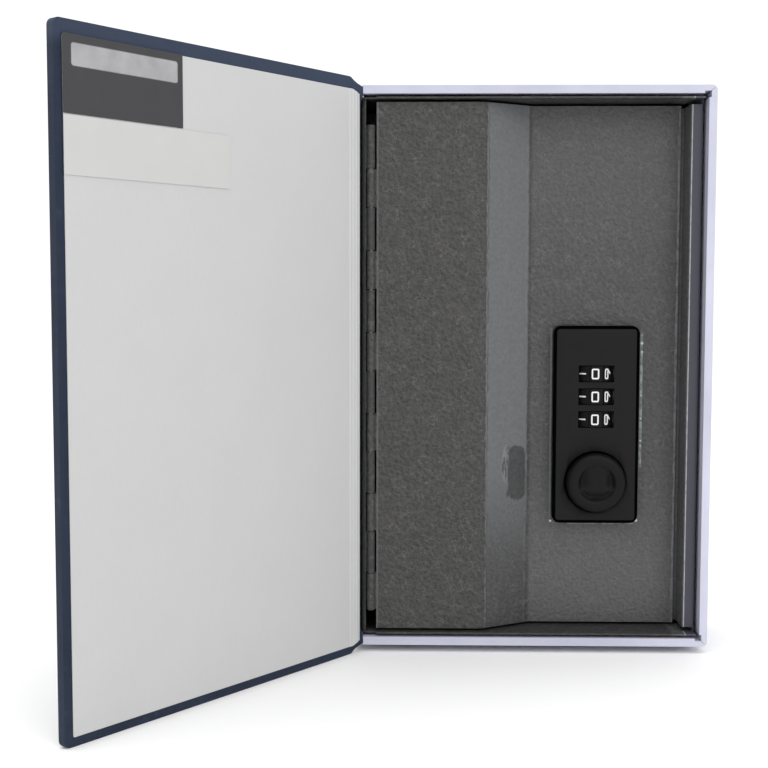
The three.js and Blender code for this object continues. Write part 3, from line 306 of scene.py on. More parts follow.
# %% [markdown]
# ## Colours
# A colour read off a screen is stored with a curve, so that dark tones get more steps. Shaders add
# up light, so they need the straight number. This takes the curve off.


# %% Colours
def screen_colour(red, green, blue):
    """The screen's 0 to 255 as linear light: (c + 0.055) / 1.055 to the power 2.4, or c / 12.92."""
    c = np.array([red, green, blue]) / 255
    linear = np.where(c <= 0.04045, c / 12.92, ((c + 0.055) / 1.055) ** 2.4)
    return (*linear.tolist(), 1.0)


def two_tones(dark, light):
    """The darkest and the lightest tone of a finish, both read off the screen."""
    return screen_colour(*dark), screen_colour(*light)


print("mid grey as light:", round(screen_colour(128, 128, 128)[0], 3))

# %% [markdown]
# ## Book cloth
# The case is covered in navy book cloth: a plain weave of threads about half a millimetre wide,
# dyed a little unevenly and rubbed in patches. Near the head it is painted lighter: a painted
# highlight for the light from above. The weave could be modelled thread by thread, but that is
# millions of faces. Two crossed sines on the sheet's own millimetre map give each thread its small
# hump, and long thin noise gives the uneven yarn.

# %% Book cloth
THREAD = 0.5
LIT_HEAD_HEIGHTS = (230, 236)
CLOTH_TONES = two_tones((20, 27, 40), (40, 51, 71))
WORN_AND_LIT_CLOTH = screen_colour(66, 78, 98)


def book_cloth():
    """Height = sine across x sine along, so that every other crossing stands proud."""
    cloth = Finish("book_cloth")
    across, along, _ = cloth.parts(cloth.flat_place())
    # Painted highlight: the cloth's top few millimetres at the head are painted lighter, for the light from
    # above.
    head_highlight = along.rise(*LIT_HEAD_HEIGHTS) * 0.4
    pitch = math.pi / THREAD
    crossing = (across * pitch).sine() * (along * pitch).sine()
    warp = cloth.noise(cloth.flat_place((2.0, 0.08, 1)), 1.6, seed=1.0)
    weft = cloth.noise(cloth.flat_place((0.08, 2.0, 1)), 1.6, seed=2.0)
    dye = cloth.noise(cloth.flat_place(), 28, detail=5, seed=3.0)
    thread = crossing * 0.25 + warp * 0.5 + weft * 0.5
    colour = cloth.mix((thread * 0.7 + dye * 0.5 - 0.1).rise(0.0, 1.0), *CLOTH_TONES)
    worn = cloth.noise(cloth.flat_place(), 5, detail=6, seed=4.0).rise(0.56, 0.8) * 0.3
    # Real rubbed patches and the painted highlight at the head both mix towards the same paler tone.
    colour = cloth.mix(worn.at_least(head_highlight), colour, WORN_AND_LIT_CLOTH)
    height = crossing * 0.35 + warp * 0.3 + weft * 0.3
    return cloth.coat(colour, 0.78 - dye * 0.12, height, 0.09, **{SHINE: 0.2, "Sheen Weight": 0.04})


CLOTH = book_cloth()
print("made", CLOTH.name)

# %% [markdown]
# ## Paper and board
# The inside of the cover is lined with matt grey-white paper, the boards under the cloth are grey
# pulp, and two plain labels are pasted in the corner: a dark card and a pale sticker. Paper isn't a
# flat colour: it has faint clouds where the pulp lay thicker, and a fine tooth.

# %% Paper and board
LINING_TONES = two_tones((185, 185, 186), (190, 190, 190))
PULP_TONES = two_tones((118, 112, 103), (152, 146, 136))


def lining_paper():
    """Two sizes of cloud change the tone by a few steps, and a fine tooth catches the light."""
    paper = Finish("lining_paper")
    at = paper.flat_place()
    cloud = paper.noise(at, 22, detail=4, seed=5.0)
    fibre = paper.noise(paper.flat_place((1, 0.3, 1)), 0.9, detail=5, seed=6.0)
    tone = (cloud * 0.5 + fibre * 0.5).rise(0.1, 0.9)
    return paper.coat(paper.mix(tone, *LINING_TONES), 0.82, fibre, 0.03)


def pulp_board():
    """Grey pulp with darker specks."""
    board = Finish("pulp_board")
    at = board.flat_place()
    speck = board.noise(at, 0.7, detail=5, seed=7.0)
    cloud = board.noise(at, 9, seed=8.0)
    tone = (speck * 0.7 + cloud * 0.3).rise(0.3, 0.7)
    return board.coat(board.mix(tone, *PULP_TONES), 0.92, speck, 0.08)


PAPER = lining_paper()
BOARD = pulp_board()
print("made", PAPER.name, "and", BOARD.name)

# %% Labels
BAR_MIDDLE = (121.5, 228.85)
BAR_HALF = (23.0, 3.95)
BAR_ROUND = 1.2
CARD_TONES = two_tones((43, 43, 46), (52, 51, 54))
BAR_TONES = two_tones((143, 143, 145), (162, 162, 163))
STICKER_TONES = two_tones((185, 185, 184), (191, 191, 190))


def in_rounded(across, along, middle, half, corner, soft):
    """1 inside a rectangle with round corners: a point's distance past the centre of a corner is
    set against the corner's radius, with a soft edge inside it."""
    past = [
        (abs(value - centre) - (reach - corner)).at_least(0.0)
        for value, centre, reach in zip((across, along), middle, half)
    ]
    distance = (past[0] ** 2 + past[1] ** 2) ** 0.5
    return 1 - distance.rise(corner - soft, corner)


def dark_card():
    """Printed near-black card with a plain pale bar across its top."""
    card = Finish("dark_card")
    at = card.flat_place()
    grain = card.noise(at, 0.5, detail=4, seed=9.0)
    cloud = card.noise(at, 7, detail=3, seed=10.0)
    ink = card.mix(cloud, *CARD_TONES)
    bar_tone = card.mix(cloud.rise(0.2, 0.8), *BAR_TONES)
    across, along, _ = card.parts(at)
    bar = in_rounded(across, along, BAR_MIDDLE, BAR_HALF, BAR_ROUND, 0.5)
    return card.coat(card.mix(bar, ink, bar_tone), 0.5 + grain * 0.1, grain, 0.01)


def pale_sticker():
    """Smooth label paper, a little warmer than the lining."""
    sticker = Finish("pale_sticker")
    at = sticker.flat_place()
    grain = sticker.noise(at, 0.6, detail=4, seed=11.0)
    cloud = sticker.noise(at, 11, seed=12.0)
    return sticker.coat(sticker.mix(cloud, *STICKER_TONES), 0.55 + grain * 0.08, grain, 0.01)


CARD = dark_card()
STICKER = pale_sticker()
print("made", CARD.name, "and", STICKER.name)

# %% [markdown]
# ## Page strips
# Three white plastic mouldings pass for the edges of the pages. Pages lie one on another from the
# back board to the front, so their edges are lines that run along the strip, each at its own depth.
# Noise squeezed hard in the depth and stretched in the other two directions draws exactly that.

# %% Page strips
SQUEEZED_IN_DEPTH = (0.012, 3.2, 0.012)
PAGE_TONES = two_tones((176, 177, 194), (200, 201, 217))
HANDLED_TONE = screen_colour(186, 185, 201)


def page_edges():
    """The lines depend on depth alone, so the front faces of the strips stay plain."""
    strip = Finish("page_edges")
    pages = strip.noise(strip.place(SQUEEZED_IN_DEPTH), 1, detail=4, rough=0.6, seed=13.0)
    sheen = strip.noise(strip.place(), 14, seed=14.0)
    lines = pages.rise(0.3, 0.7)
    colour = strip.mix(lines, *PAGE_TONES)
    colour = strip.mix(sheen * 0.25, colour, HANDLED_TONE)
    return strip.coat(colour, 0.5 - sheen * 0.1, lines, 0.06)


PAGES = page_edges()
print("made", PAGES.name)

# %% [markdown]
# ## Hammered paint
# The steel is sprayed with a grey paint that draws together into shallow dimples a millimetre or
# two across. Voronoi cells give the dimples, and noise bends them so that no two look alike. Pale
# veins wind between them, a painted highlight on the paint's wrinkles: the lines along which a
# cloudy noise passes its middle value, kept only in places. One side of each clot is painted
# lighter and the other darker, as painted highlight and shade from the upper right. Bump and
# gloss do the rest.

# %% Hammered paint
DIMPLES_PER_MM = 0.7
BENDS_PER_MM = 0.5
STEP_TOWARD_LIGHT = (0.3, 0.0, 0.4)
VEIN_HALF_WIDTH = 0.035
VEIN_HIGHLIGHT_TONE = screen_colour(106, 104, 103)


def hammered(paint, tones, lift, lifted_tones):
    """Dimples = distance to the nearest Voronoi point, on bent space. Painted highlight and shade on
    the clots' sides = a noise less itself a step towards the light. Pale veins, a painted highlight
    on the paint's wrinkles = where a noise passes its middle. Lift goes over to other tones."""
    at = paint.place()
    toward_light = paint.node("VectorMath", {"operation": "ADD"}, {0: at, 1: STEP_TOWARD_LIGHT})
    bends = {"Vector": at, "Scale": BENDS_PER_MM, "Detail": 2.0}
    bend = paint.node("TexNoise", None, bends, "Color")
    bent = paint.node("VectorMath", {"operation": "ADD"}, {0: at, 1: bend})
    scattered = {"Vector": bent, "Scale": DIMPLES_PER_MM}
    cells = paint.node("TexVoronoi", {"feature": "SMOOTH_F1"}, scattered)
    clots, beside = (
        paint.noise(place, 1.5, detail=4, rough=0.65, seed=15.0) for place in (at, toward_light)
    )
    broad = paint.noise(at, 26, detail=3, seed=16.0)
    dimples = cells.rise(0.1, 0.8) * 0.5 + clots.rise(0.34, 0.66) * 0.5
    # Painted light: (clots - beside) lightens the side of each clot towards the light and darkens the other.
    tone = dimples * 0.55 + broad * 0.25 + (clots - beside) * 1.4 + 0.1
    colour = paint.mix(lift, paint.mix(tone, *tones), paint.mix(tone, *lifted_tones))
    # Painted highlight: the pale veins stand for light caught on the paint's wrinkles.
    winding = abs(paint.noise(toward_light, 2.4, detail=3, seed=17.4) - 0.5)
    kept = paint.noise(at, 4.1, detail=2, seed=33.7).rise(0.44, 0.62)
    vein = (1 - winding.rise(0.0, VEIN_HALF_WIDTH)) * kept * 0.45
    return paint.mix(vein, colour, VEIN_HIGHLIGHT_TONE), dimples


print("hammered paint: dimples about", round(1 / DIMPLES_PER_MM, 1), "mm across")

# %% [markdown]
# The door has a slope between its high part and its low part. There the paint is smooth, and it
# is painted paler: a painted highlight for the light that falls on the slope, weaker towards the
# foot. A ragged bead of paint runs along each bend, with a painted highlight on it and painted shade
# in the first bend. The door's free edge has a painted highlight, and so do the left and the right
# side of the lock plate, as broken pale lines; below the plate the pale line is rubbed paint. A
# greasy mark is left on it where a thumb goes, and round the lock plate the paint is chipped. The
# outer lip of the box is smooth too, bluish, with a painted highlight along its inner edge. Masks on
# the place across the door draw all of these, so they stay put when the door swings, and a mask on
# the depth keeps the pale lines and chips off its back.

# %% Marks on the paint
SLOPE_X = (-20.4, -3.0)
SLOPE_FALL = 0.692
LOW_FRONT_Y = -33.2
BEAD_WIDTH = 0.6
MARK_MIDDLE = (-7.1, 74.9)
MARK_HALF = (4.2, 12.0)
MARK_ROUND = 3.6
MARK_RAGGED = 4.5
MARK_CALM_X = (-9.0, -5.5)
WISPS_MIDDLE = (-11.2, 79.0)
WISPS_HALF = (3.6, 9.2)
RIGHT_HIGHLIGHT = ((45.8, 46.6), 0.25, (79, 133), 3)
LEFT_HIGHLIGHT = ((7.3, 7.9), 0.2, (57, 135), 3)
WORN_FOOT = ((9, 43), 1, (52.4, 52.8), 0.25)
CHIPS = [
    (46.3, 130.5, 0.8), (46.3, 126.8, 0.6), (46.2, 108.1, 0.45), (46.2, 98.1, 0.5),
    (46.2, 88.6, 0.55), (46.2, 86.5, 0.4), (44.8, 54.0, 0.9), (7.9, 53.6, 0.7),
]


def band(value, start, end, soft):
    """1 between two places, falling to 0 over a soft edge outside them."""
    return value.rise(start - soft, start) * (1 - value.rise(end, end + soft))


def strip(across, height, wide, wide_soft, tall, tall_soft):
    """1 inside an upright rectangle, with its own soft edge each way."""
    return band(across, *wide, wide_soft) * band(height, *tall, tall_soft)


def highlights_and_wear(paint, across, height):
    """Broken pale lines past three sides of the lock plate: a painted highlight on the right and the left,
    and rubbed paint at the foot. Bright chips fade outwards.
    """
    broken = paint.noise(paint.place((1, 1, 0.7)), 1.4, detail=4, seed=30.0).rise(0.4, 0.6)
    # Painted highlights right and left of the plate; the line at the foot is rubbed paint.
    right = strip(across, height, *RIGHT_HIGHLIGHT) * (broken * 0.6 + 0.3)
    left = strip(across, height, *LEFT_HIGHLIGHT) * 0.3
    foot = strip(across, height, *WORN_FOOT) * broken * 0.5
    chips = 0
    for x, z, reach in CHIPS:
        distance = ((across - x) ** 2 + (height - z) ** 2) ** 0.5
        chips = chips + (1 - distance.rise(reach * 0.4, reach))
    return right + left + foot, chips


def greasy(paint, across, height):
    """An upright mark with round corners, whose outline noise pushes in and out, less so on its
    right. Left of it lie upright wisps, dark where a noise is high and pale where it is low."""
    push = (paint.noise(paint.place((1, 1, 0.6)), 1.5, detail=4, seed=20.0) - 0.5) * MARK_RAGGED
    push = push * (1 - across.rise(*MARK_CALM_X) * 0.8)
    mark = in_rounded(across + push, height + push, MARK_MIDDLE, MARK_HALF, MARK_ROUND, 0.7)
    beside = in_rounded(across, height, WISPS_MIDDLE, WISPS_HALF, MARK_ROUND, 2.0) * (1 - mark)
    wisps = paint.noise(paint.place((1.3, 1, 0.4)), 1.3, detail=2, seed=36.0)
    dark = mark.at_least(beside * wisps.rise(0.53, 0.58) * 0.8)
    pale = beside * (1 - wisps.rise(0.4, 0.46)) * 0.5
    return dark * (1 - across.rise(SLOPE_X[1], SLOPE_X[1] + 0.3)), pale


print("marks: slope from", SLOPE_X[0], "to", SLOPE_X[1], "mm, and", len(CHIPS), "chips")

# %% Paint of the door
HIGH_TONES = two_tones((35, 35, 34), (75, 74, 73))
LOW_TONES = two_tones((71, 71, 72), (91, 91, 92))
SLOPE_HIGHLIGHT_TONES = two_tones((88, 90, 92), (97, 99, 101))
GREASE_TONES = two_tones((40, 40, 41), (56, 56, 57))
BEAD_HIGHLIGHT_TONE = screen_colour(112, 112, 112)
CREASE_SHADE_TONE = screen_colour(52, 53, 54)
RIM_HIGHLIGHT_TONE = screen_colour(112, 110, 110)
HINGE_EDGE_TONE = screen_colour(112, 111, 111)
HIGHLIGHT_AND_RUBBED_TONE = screen_colour(146, 156, 156)
CHIP_TONE = screen_colour(196, 204, 204)
WISP_TONE = screen_colour(122, 123, 124)
PALE_AT_HEAD = (150, 210)
PALE_AT_TAIL = (25, 90)
SLOPE_SHOWS = (25, 84)
RIM_X = (60.4, 61.5)
HINGE_EDGE_X = (-66.9, -66.3)


def door_paint():
    """Hammered paint, lighter on the low part, with the slope's painted highlight, the painted highlights
    and shade of the beads and edges, the wear and the mark.
    """
    paint = Finish("door_paint")
    across, depth, height = paint.parts(paint.place())
    lift = 0.35 + height.rise(*PALE_AT_HEAD) * 0.35 + (1 - height.rise(*PALE_AT_TAIL)) * 0.65
    lift = lift * across.rise(SLOPE_X[1], SLOPE_X[1] + 3)
    colour, dimples = hammered(paint, HIGH_TONES, lift, LOW_TONES)
    wander = paint.noise(paint.place((1, 1, 0.6)), 2.2, detail=4, seed=18.0) - 0.5
    ragged = across + wander * 1.4
    # Painted highlight: the slope is painted paler for the light that falls on it, weaker towards the foot.
    on_slope = band(ragged, *SLOPE_X, 0.8) * (height.rise(*SLOPE_SHOWS) * 0.85 + 0.15)
    clouded = paint.noise(paint.place(), 1.4, detail=4, seed=31.0).rise(0.3, 0.7)
    slope_highlight, grease = paint.mix(clouded, *SLOPE_HIGHLIGHT_TONES), paint.mix(clouded, *GREASE_TONES)
    broken = paint.noise(paint.place((1, 1, 0.5)), 1.5, detail=3, seed=19.0).rise(0.4, 0.55)
    # Painted highlight on the ragged beads along the bends, and painted shade in the first bend beside its
    # bead.
    beads = [band(ragged, x - BEAD_WIDTH, x - 0.1, 0.25) for x in SLOPE_X]
    bead = (beads[0] + beads[1] * 0.5) * broken
    crease = band(ragged, SLOPE_X[0] + 0.1, SLOPE_X[0] + 0.4, 0.2) * broken
    # Painted highlight along the door's free edge.
    rim = band(across + wander * 1.6, *RIM_X, 0.25) * (broken * 0.5 + 0.4)
    hinge_edge = band(across, *HINGE_EDGE_X, 0.2)
    lines, chips = highlights_and_wear(paint, across, height)
    low_front = 1 - (depth - LOW_FRONT_Y).rise(0.3, 0.5)
    mark, wisps = greasy(paint, across, height)
    behind_slope = depth - LOW_FRONT_Y - (across - SLOPE_X[1]) * SLOPE_FALL
    slope_front = 1 - behind_slope.rise(0.3, 0.7)
    colour = paint.layered(
        colour,
        (on_slope, slope_highlight),
        (bead * 0.5, BEAD_HIGHLIGHT_TONE),
        (crease * 0.5, CREASE_SHADE_TONE),
        (rim, RIM_HIGHLIGHT_TONE),
        (hinge_edge * 0.4, HINGE_EDGE_TONE),
        (lines * low_front, HIGHLIGHT_AND_RUBBED_TONE),
        (chips * low_front * 0.9, CHIP_TONE),
        (wisps * slope_front, WISP_TONE),
        (mark * slope_front * 0.85, grease),
    )
    relief = dimples * (1 - on_slope * 0.92) + bead * 0.8
    return paint.coat(colour, 0.5 - dimples * 0.1, relief, 0.2, **{SHINE: 0.4})


DOOR_PAINT = door_paint()
print("made", DOOR_PAINT.name)

# %% Paint of the box
INSIDE_TONES = two_tones((38, 38, 38), (60, 60, 60))
FREE_SIDE_LIT_TONES = two_tones((60, 60, 62), (86, 86, 88))
LIP_TONES = two_tones((59, 59, 69), (65, 65, 76))
LIP_HIGHLIGHT_TONE = screen_colour(168, 169, 171)
FLANGE_SHADE_TONE = screen_colour(16, 17, 16)
FREE_SIDE_X = (57.5, 58.5)
LIP_X = (63.6, 63.75)
LIP_HIGHLIGHT_X = (63.48, 63.75)
LIP_BACK_Y = -44.2
FLANGE_X = (-72.2, -71.6)


def box_paint():
    """Darker hammered paint inside, painted light on the free side, the smooth lip with a painted highlight
    on its inner edge, and the left flange painted near black as painted shade.
    """
    paint = Finish("box_paint")
    across, depth, _ = paint.parts(paint.place())
    # Painted light: the free side's return wall and stop lip, which lie in shade, are painted lighter.
    lift = across.rise(*FREE_SIDE_X)
    colour, dimples = hammered(paint, INSIDE_TONES, lift, FREE_SIDE_LIT_TONES)
    front = 1 - depth.rise(LIP_BACK_Y - 0.2, LIP_BACK_Y)
    on_lip = across.rise(*LIP_X) * front
    fine = paint.noise(paint.place(), 0.9, detail=3, seed=32.0)
    dotted = paint.noise(paint.place((1, 1, 0.5)), 1.1, detail=3, seed=21.0).rise(0.3, 0.6)
    # Painted highlight along the lip's inner edge, broken by a noise.
    worn = band(across, *LIP_HIGHLIGHT_X, 0.12) * front
    # Painted shade: the left flange, in the shade of the joint, is painted near black.
    flange_shade = 1 - across.rise(*FLANGE_X)
    colour = paint.layered(
        colour,
        (on_lip, paint.mix(fine, *LIP_TONES)),
        (worn * (dotted * 0.4 + 0.6), LIP_HIGHLIGHT_TONE),
        (flange_shade * 0.85, FLANGE_SHADE_TONE),
    )
    relief = dimples * (1 - on_lip * 0.92)
    return paint.coat(colour, 0.5 - dimples * 0.1, relief, 0.2, **{SHINE: 0.4})


BOX_PAINT = box_paint()
print("made", BOX_PAINT.name)

# %% [markdown]
# ## Metals and black plastic
# The lock is moulded in black plastic with a light grain. Inside it are stamped brass, cast zinc
# and plain steel. Each metal keeps its own mark of how it was made: fine lines on steel and brass
# from the rolling mill, clouds and pits on the zinc from the mould.

# %% Metals
ZINC_TONES = two_tones((118, 119, 122), (164, 166, 170))
STEEL_TONES = two_tones((136, 137, 140), (176, 177, 180))
BRASS_TONES = two_tones((160, 126, 60), (196, 160, 88))
DULL_BRASS_TONES = two_tones((52, 43, 25), (74, 61, 36))


def rolled_metal(name, tones, rough, seed):
    """Long thin noise along the upright stands for the rolling lines."""
    metal = Finish(name)
    lines = metal.noise(metal.place((3, 3, 0.12)), 0.8, detail=4, seed=seed)
    stain = metal.noise(metal.place(), 6, detail=4, seed=seed + 0.5)
    colour = metal.mix((lines * 0.5 + stain * 0.5).rise(0.25, 0.75), *tones)
    return metal.coat(colour, rough + lines * 0.15, lines, 0.01, Metallic=1.0)


def cast_zinc():
    """Soft clouds and small pits."""
    zinc = Finish("cast_zinc")
    at = zinc.place()
    cloud = zinc.noise(at, 4, detail=4, seed=22.0)
    pits = zinc.noise(at, 0.5, detail=2, seed=23.0).rise(0.35, 0.45)
    colour = zinc.mix(cloud * pits, *ZINC_TONES)
    return zinc.coat(colour, 0.42 + cloud * 0.1, pits, 0.03, Metallic=0.9)


STEEL = rolled_metal("rolled_steel", STEEL_TONES, 0.3, 25.0)
BRASS = rolled_metal("rolled_brass", BRASS_TONES, 0.28, 26.0)
DULL_BRASS = rolled_metal("dull_brass", DULL_BRASS_TONES, 0.5, 34.0)
ZINC = cast_zinc()
print("made", STEEL.name, BRASS.name, DULL_BRASS.name, ZINC.name)

# %% Black plastic
PLATE_MIDDLE = (26.35, 95.75)
FACE_HALF = (17.0, 41.0)
FACE_ROUND = 1.4
KNOB_MIDDLE = (26.35, 71.3)
KNOB_GROOVE = (12.2, 13.3)
KNOB_EDGE_Y = (-42.6, -40.6)
KNOB_FOOT_Y = (-40.2, -39.2)
LOCK_TONES = two_tones((19, 19, 20), (27, 27, 28))
KNOB_TONES = two_tones((13, 13, 14), (20, 19, 20))
DIAL_TONES = two_tones((14, 14, 15), (20, 20, 21))
NUMBER_TONES = two_tones((215, 215, 215), (235, 235, 235))
PAINTED_SHADE_BLACK = screen_colour(3, 3, 4)


def grained_plastic(name, tones, rough, seed, shaded=None):
    """A spark-eroded mould leaves a fine grain, and handling leaves faint clouds of polish. Where the
    shaded mask is given it paints shade: there the colour is black, and Metallic takes away the
    gloss, since a metal reflects its colour."""
    plastic = Finish(name)
    at = plastic.place()
    grain = plastic.noise(at, 0.35, detail=3, seed=seed)
    polish = plastic.noise(at, 9, detail=4, seed=seed + 0.5)
    shade = shaded(plastic.parts(at)) if shaded else 0.0
    # Painted shade: where the shaded mask is high, the colour goes black.
    colour = plastic.mix(shade, plastic.mix(grain * 0.5 + polish * 0.5, *tones), PAINTED_SHADE_BLACK)
    gloss = {"Metallic": shade, SHINE: 0.13}
    return plastic.coat(colour, rough + polish * 0.14, grain, 0.02, **gloss)


def plate_rim_shade(place):
    """Painted shade: black on the bevel and the side walls of the plate, and in the groove round the knob.
    """
    across, _, height = place
    face = in_rounded(across, height, PLATE_MIDDLE, FACE_HALF, FACE_ROUND, 0.3)
    radius = ((across - KNOB_MIDDLE[0]) ** 2 + (height - KNOB_MIDDLE[1]) ** 2) ** 0.5
    return (1 - face).at_least(band(radius, *KNOB_GROOVE, 0.15))


def knob_flank_shade(place):
    """Painted shade: darker behind the knob's rounded edge, and most of all at its foot."""
    depth = place[1]
    return depth.rise(*KNOB_EDGE_Y) * 0.4 + depth.rise(*KNOB_FOOT_Y) * 0.6


def number_paint():
    """White filling in the numbers, very slightly uneven."""
    white = Finish("number_paint")
    grain = white.noise(white.place(), 0.4, detail=3, seed=24.0)
    return white.coat(white.mix(grain, *NUMBER_TONES), 0.5, grain, 0.01)


LOCK_BLACK = grained_plastic("lock_black", LOCK_TONES, 0.42, 27.0)
PLATE_BLACK = grained_plastic("plate_black", LOCK_TONES, 0.42, 27.0, plate_rim_shade)
KNOB_BLACK = grained_plastic("knob_black", KNOB_TONES, 0.36, 27.0, knob_flank_shade)
DIAL_BLACK = grained_plastic("dial_black", DIAL_TONES, 0.36, 28.0)
NUMBERS = number_paint()
print("materials:", len(bpy.data.materials))

# %% [markdown]
# ## Dressing a solid
# A CAD solid arrives as loose triangles with knife-sharp edges. No real edge is sharp: paint, cloth
# and moulds all round it a little, and that round is what catches the light. The CAD mesh itself
# may not be changed, so each piece is a copy: its doubles are merged, flat triangles join into
# whole faces, faces with a corner that turns inwards are cut there, and a Bevel modifier rounds the
# edges. The copy also gets a map in real millimetres. The cover stands open, so its pieces are
# turned back about the hinge before they are measured: then the weave lies square to the board and
# not to the room. The spine board shows only at its two ends, where the cloth is turned in over it,
# so it has the cloth's finish.

# %% Millimetre map
HINGE_LINE = (-74.1, -49.5)
COVER_OPEN_DEG = 128


def laid_closed(points):
    """Points of the open cover in its hinge's frame: x to the fore edge, y out of the cover, in mm.
    x' = x cos a - y sin a and y' = x sin a + y cos a, with the opening angle a."""
    angle = math.radians(COVER_OPEN_DEG)
    x = points[:, 0] / MM - HINGE_LINE[0]
    y = points[:, 1] / MM - HINGE_LINE[1]
    along = x * math.cos(angle) - y * math.sin(angle)
    across = x * math.sin(angle) + y * math.cos(angle)
    return np.stack([along, across, points[:, 2] / MM], 1)


def read_all(items, field, kind, width=1):
    """One field of every item, as one array."""
    values = np.empty(len(items) * width, kind)
    items.foreach_get(field, values)
    return values.reshape(-1, width) if width > 1 else values


def millimetre_map(mesh, body):
    """Each face is seen along its flattest direction: the other two distances become its map."""
    points = read_all(mesh.vertices, "co", float, 3)
    normals = read_all(mesh.polygons, "normal", float, 3)
    own = laid_closed(points) if body == "cover" else points / MM
    if body == "cover":
        hinge = np.array([*HINGE_LINE, 0]) * MM
        normals = laid_closed(normals * MM + hinge)
    counts = read_all(mesh.polygons, "loop_total", int)
    flattest = np.repeat(np.abs(normals).argmax(1), counts)
    place = own[read_all(mesh.loops, "vertex_index", int)]
    across = np.where(flattest == 0, place[:, 1], place[:, 0])
    along = np.where(flattest == 2, place[:, 1], place[:, 2])
    layer = mesh.uv_layers.new(name="millimetres", do_init=False)
    layer.uv.foreach_set("vector", np.stack([across, along], 1).astype(np.float32).ravel())


print("pieces that ride on the cover are turned back", COVER_OPEN_DEG, "degrees to be measured")

# %% Dressing helpers
SHARP_ANGLE = math.radians(32)
FLAT_ANGLE = math.radians(0.3)
SAME_POINT = 0.0005 * MM


def finished(name, mesh, finish, body, sharp=SHARP_ANGLE):
    """A piece with its map, its material and its sharp edges."""
    millimetre_map(mesh, body)
    mesh.materials.append(finish)
    mesh.shade_smooth()
    mesh.set_sharp_from_angle(angle=sharp)
    piece = bpy.data.objects.new(name, mesh)
    scene.collection.objects.link(piece)
    return piece


def put_up(name, mesh, finish, body, bevel=0.0):
    """A finished piece with its edges rounded, riding on its body."""
    piece = finished(name, mesh, finish, body)
    if bevel:
        rounding = piece.modifiers.new("softened_edges", "BEVEL")
        rounding.width = bevel * MM
        rounding.segments = 2
        rounding.limit_method = "ANGLE"
        rounding.angle_limit = SHARP_ANGLE
        rounding.harden_normals = True
        rounding.use_clamp_overlap = True
    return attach(piece, body)


def dressed(node, finish, bevel):
    """A merged copy of a CAD solid stands for it."""
    source = frame["nodes"][node]
    shape = bmesh.new()
    shape.from_mesh(source.data)
    points, edges = shape.verts, shape.edges
    bmesh.ops.remove_doubles(shape, verts=points, dist=SAME_POINT)
    bmesh.ops.dissolve_limit(shape, angle_limit=FLAT_ANGLE, verts=points, edges=edges)
    bmesh.ops.connect_verts_concave(shape, faces=shape.faces)
    mesh = bpy.data.meshes.new(node + "_finished")
    shape.to_mesh(mesh)
    shape.free()
    body = body_of(source)[0]
    piece = put_up(node + "_finished", mesh, finish, body, bevel)
    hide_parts(node)
    return piece


print("edges sharper than", round(math.degrees(SHARP_ANGLE)), "degrees are rounded")

# %% Dress the CAD solids
DRESSING = [
    (CLOTH, 0.15, ["case_cloth", "front_cloth"]),
    (CLOTH, 0.1, ["spine_board"]),
    (BOARD, 0.1, ["back_board", "front_board"]),
    (PAPER, 0.06, ["back_endpaper", "front_endpaper"]),
    (CARD, 0.04, ["label_card"]),
    (STICKER, 0.04, ["blank_sticker"]),
    (PAGES, 0.1, ["page_strip_fore_edge", "page_strip_head", "page_strip_tail"]),
    (BOX_PAINT, 0.12, ["box_body", "box_end_wall_head", "box_end_wall_tail"]),
    (DOOR_PAINT, 0.15, ["door_plate"]),
    (PLATE_BLACK, 0.2, ["lock_front_plate"]),
    (LOCK_BLACK, 0.1, ["lock_housing", "reset_slider"]),
    (ZINC, 0.1, ["lock_back_cover", "latch_rotor"]),
    (STEEL, 0.06, ["hinge_pin", "dial_axle", "detent_spring"]),
    (STEEL, 0.06, ["latch_cam", "cam_washer", "cam_nut"]),
    (STEEL, 0.1, ["lock_screw_1", "lock_screw_2", "lock_screw_3", "lock_screw_4"]),
    (BRASS, 0.06, ["gate_plate"]),
    (DULL_BRASS, 0.06, ["code_ring_1", "code_ring_2", "code_ring_3"]),
    (DIAL_BLACK, 0.12, ["dial_wheel_1", "dial_wheel_2", "dial_wheel_3"]),
]
solids = [dressed(node, finish, bevel) for finish, bevel, nodes in DRESSING for node in nodes]
print("dressed", len(solids), "solids")

# %% [markdown]
# ## Shapes worked out on a grid
# A sheet is a grid of points, and a body of one thickness is two such grids joined round their rim.
# That single helper makes the joint of the cover, the strokes of the numbers and more: only the
# formula for the points changes. The volume tells whether the faces point outwards.


# %% Grid helpers
def quads(index):
    """Four corners for each cell of a grid of point numbers."""
    corners = [index[:-1, :-1], index[:-1, 1:], index[1:, 1:], index[1:, :-1]]
    return np.stack(corners, -1).reshape(-1, 4)


def outward(points, faces):
    """Faces turned round if the body's volume comes out negative. The volume is the sum of the fans
    from the middle to each face: for a triangle with corners a, b and c, a . (b x c)."""
    centre = points.mean(0)
    a, b, c, d = (points[faces[:, i]] - centre for i in range(4))
    volume = np.einsum("ij,ij->", a, np.cross(b, c)) + np.einsum("ij,ij->", a, np.cross(c, d))
    return faces if volume > 0 else faces[:, ::-1]


def grid_mesh(name, parts):
    """One mesh from several bodies, each a pair of points in mm and four-cornered faces."""
    offsets = np.cumsum([0] + [len(points) for points, _ in parts[:-1]])
    points = np.concatenate([points for points, _ in parts]) * MM
    faces = np.concatenate([outward(p, f) + start for (p, f), start in zip(parts, offsets)])
    mesh = bpy.data.meshes.new(name)
    mesh.from_pydata(points, [], faces.tolist())
    tidy = bmesh.new()
    tidy.from_mesh(mesh)
    bmesh.ops.remove_doubles(tidy, verts=tidy.verts, dist=SAME_POINT)
    tidy.to_mesh(mesh)
    tidy.free()
    return mesh


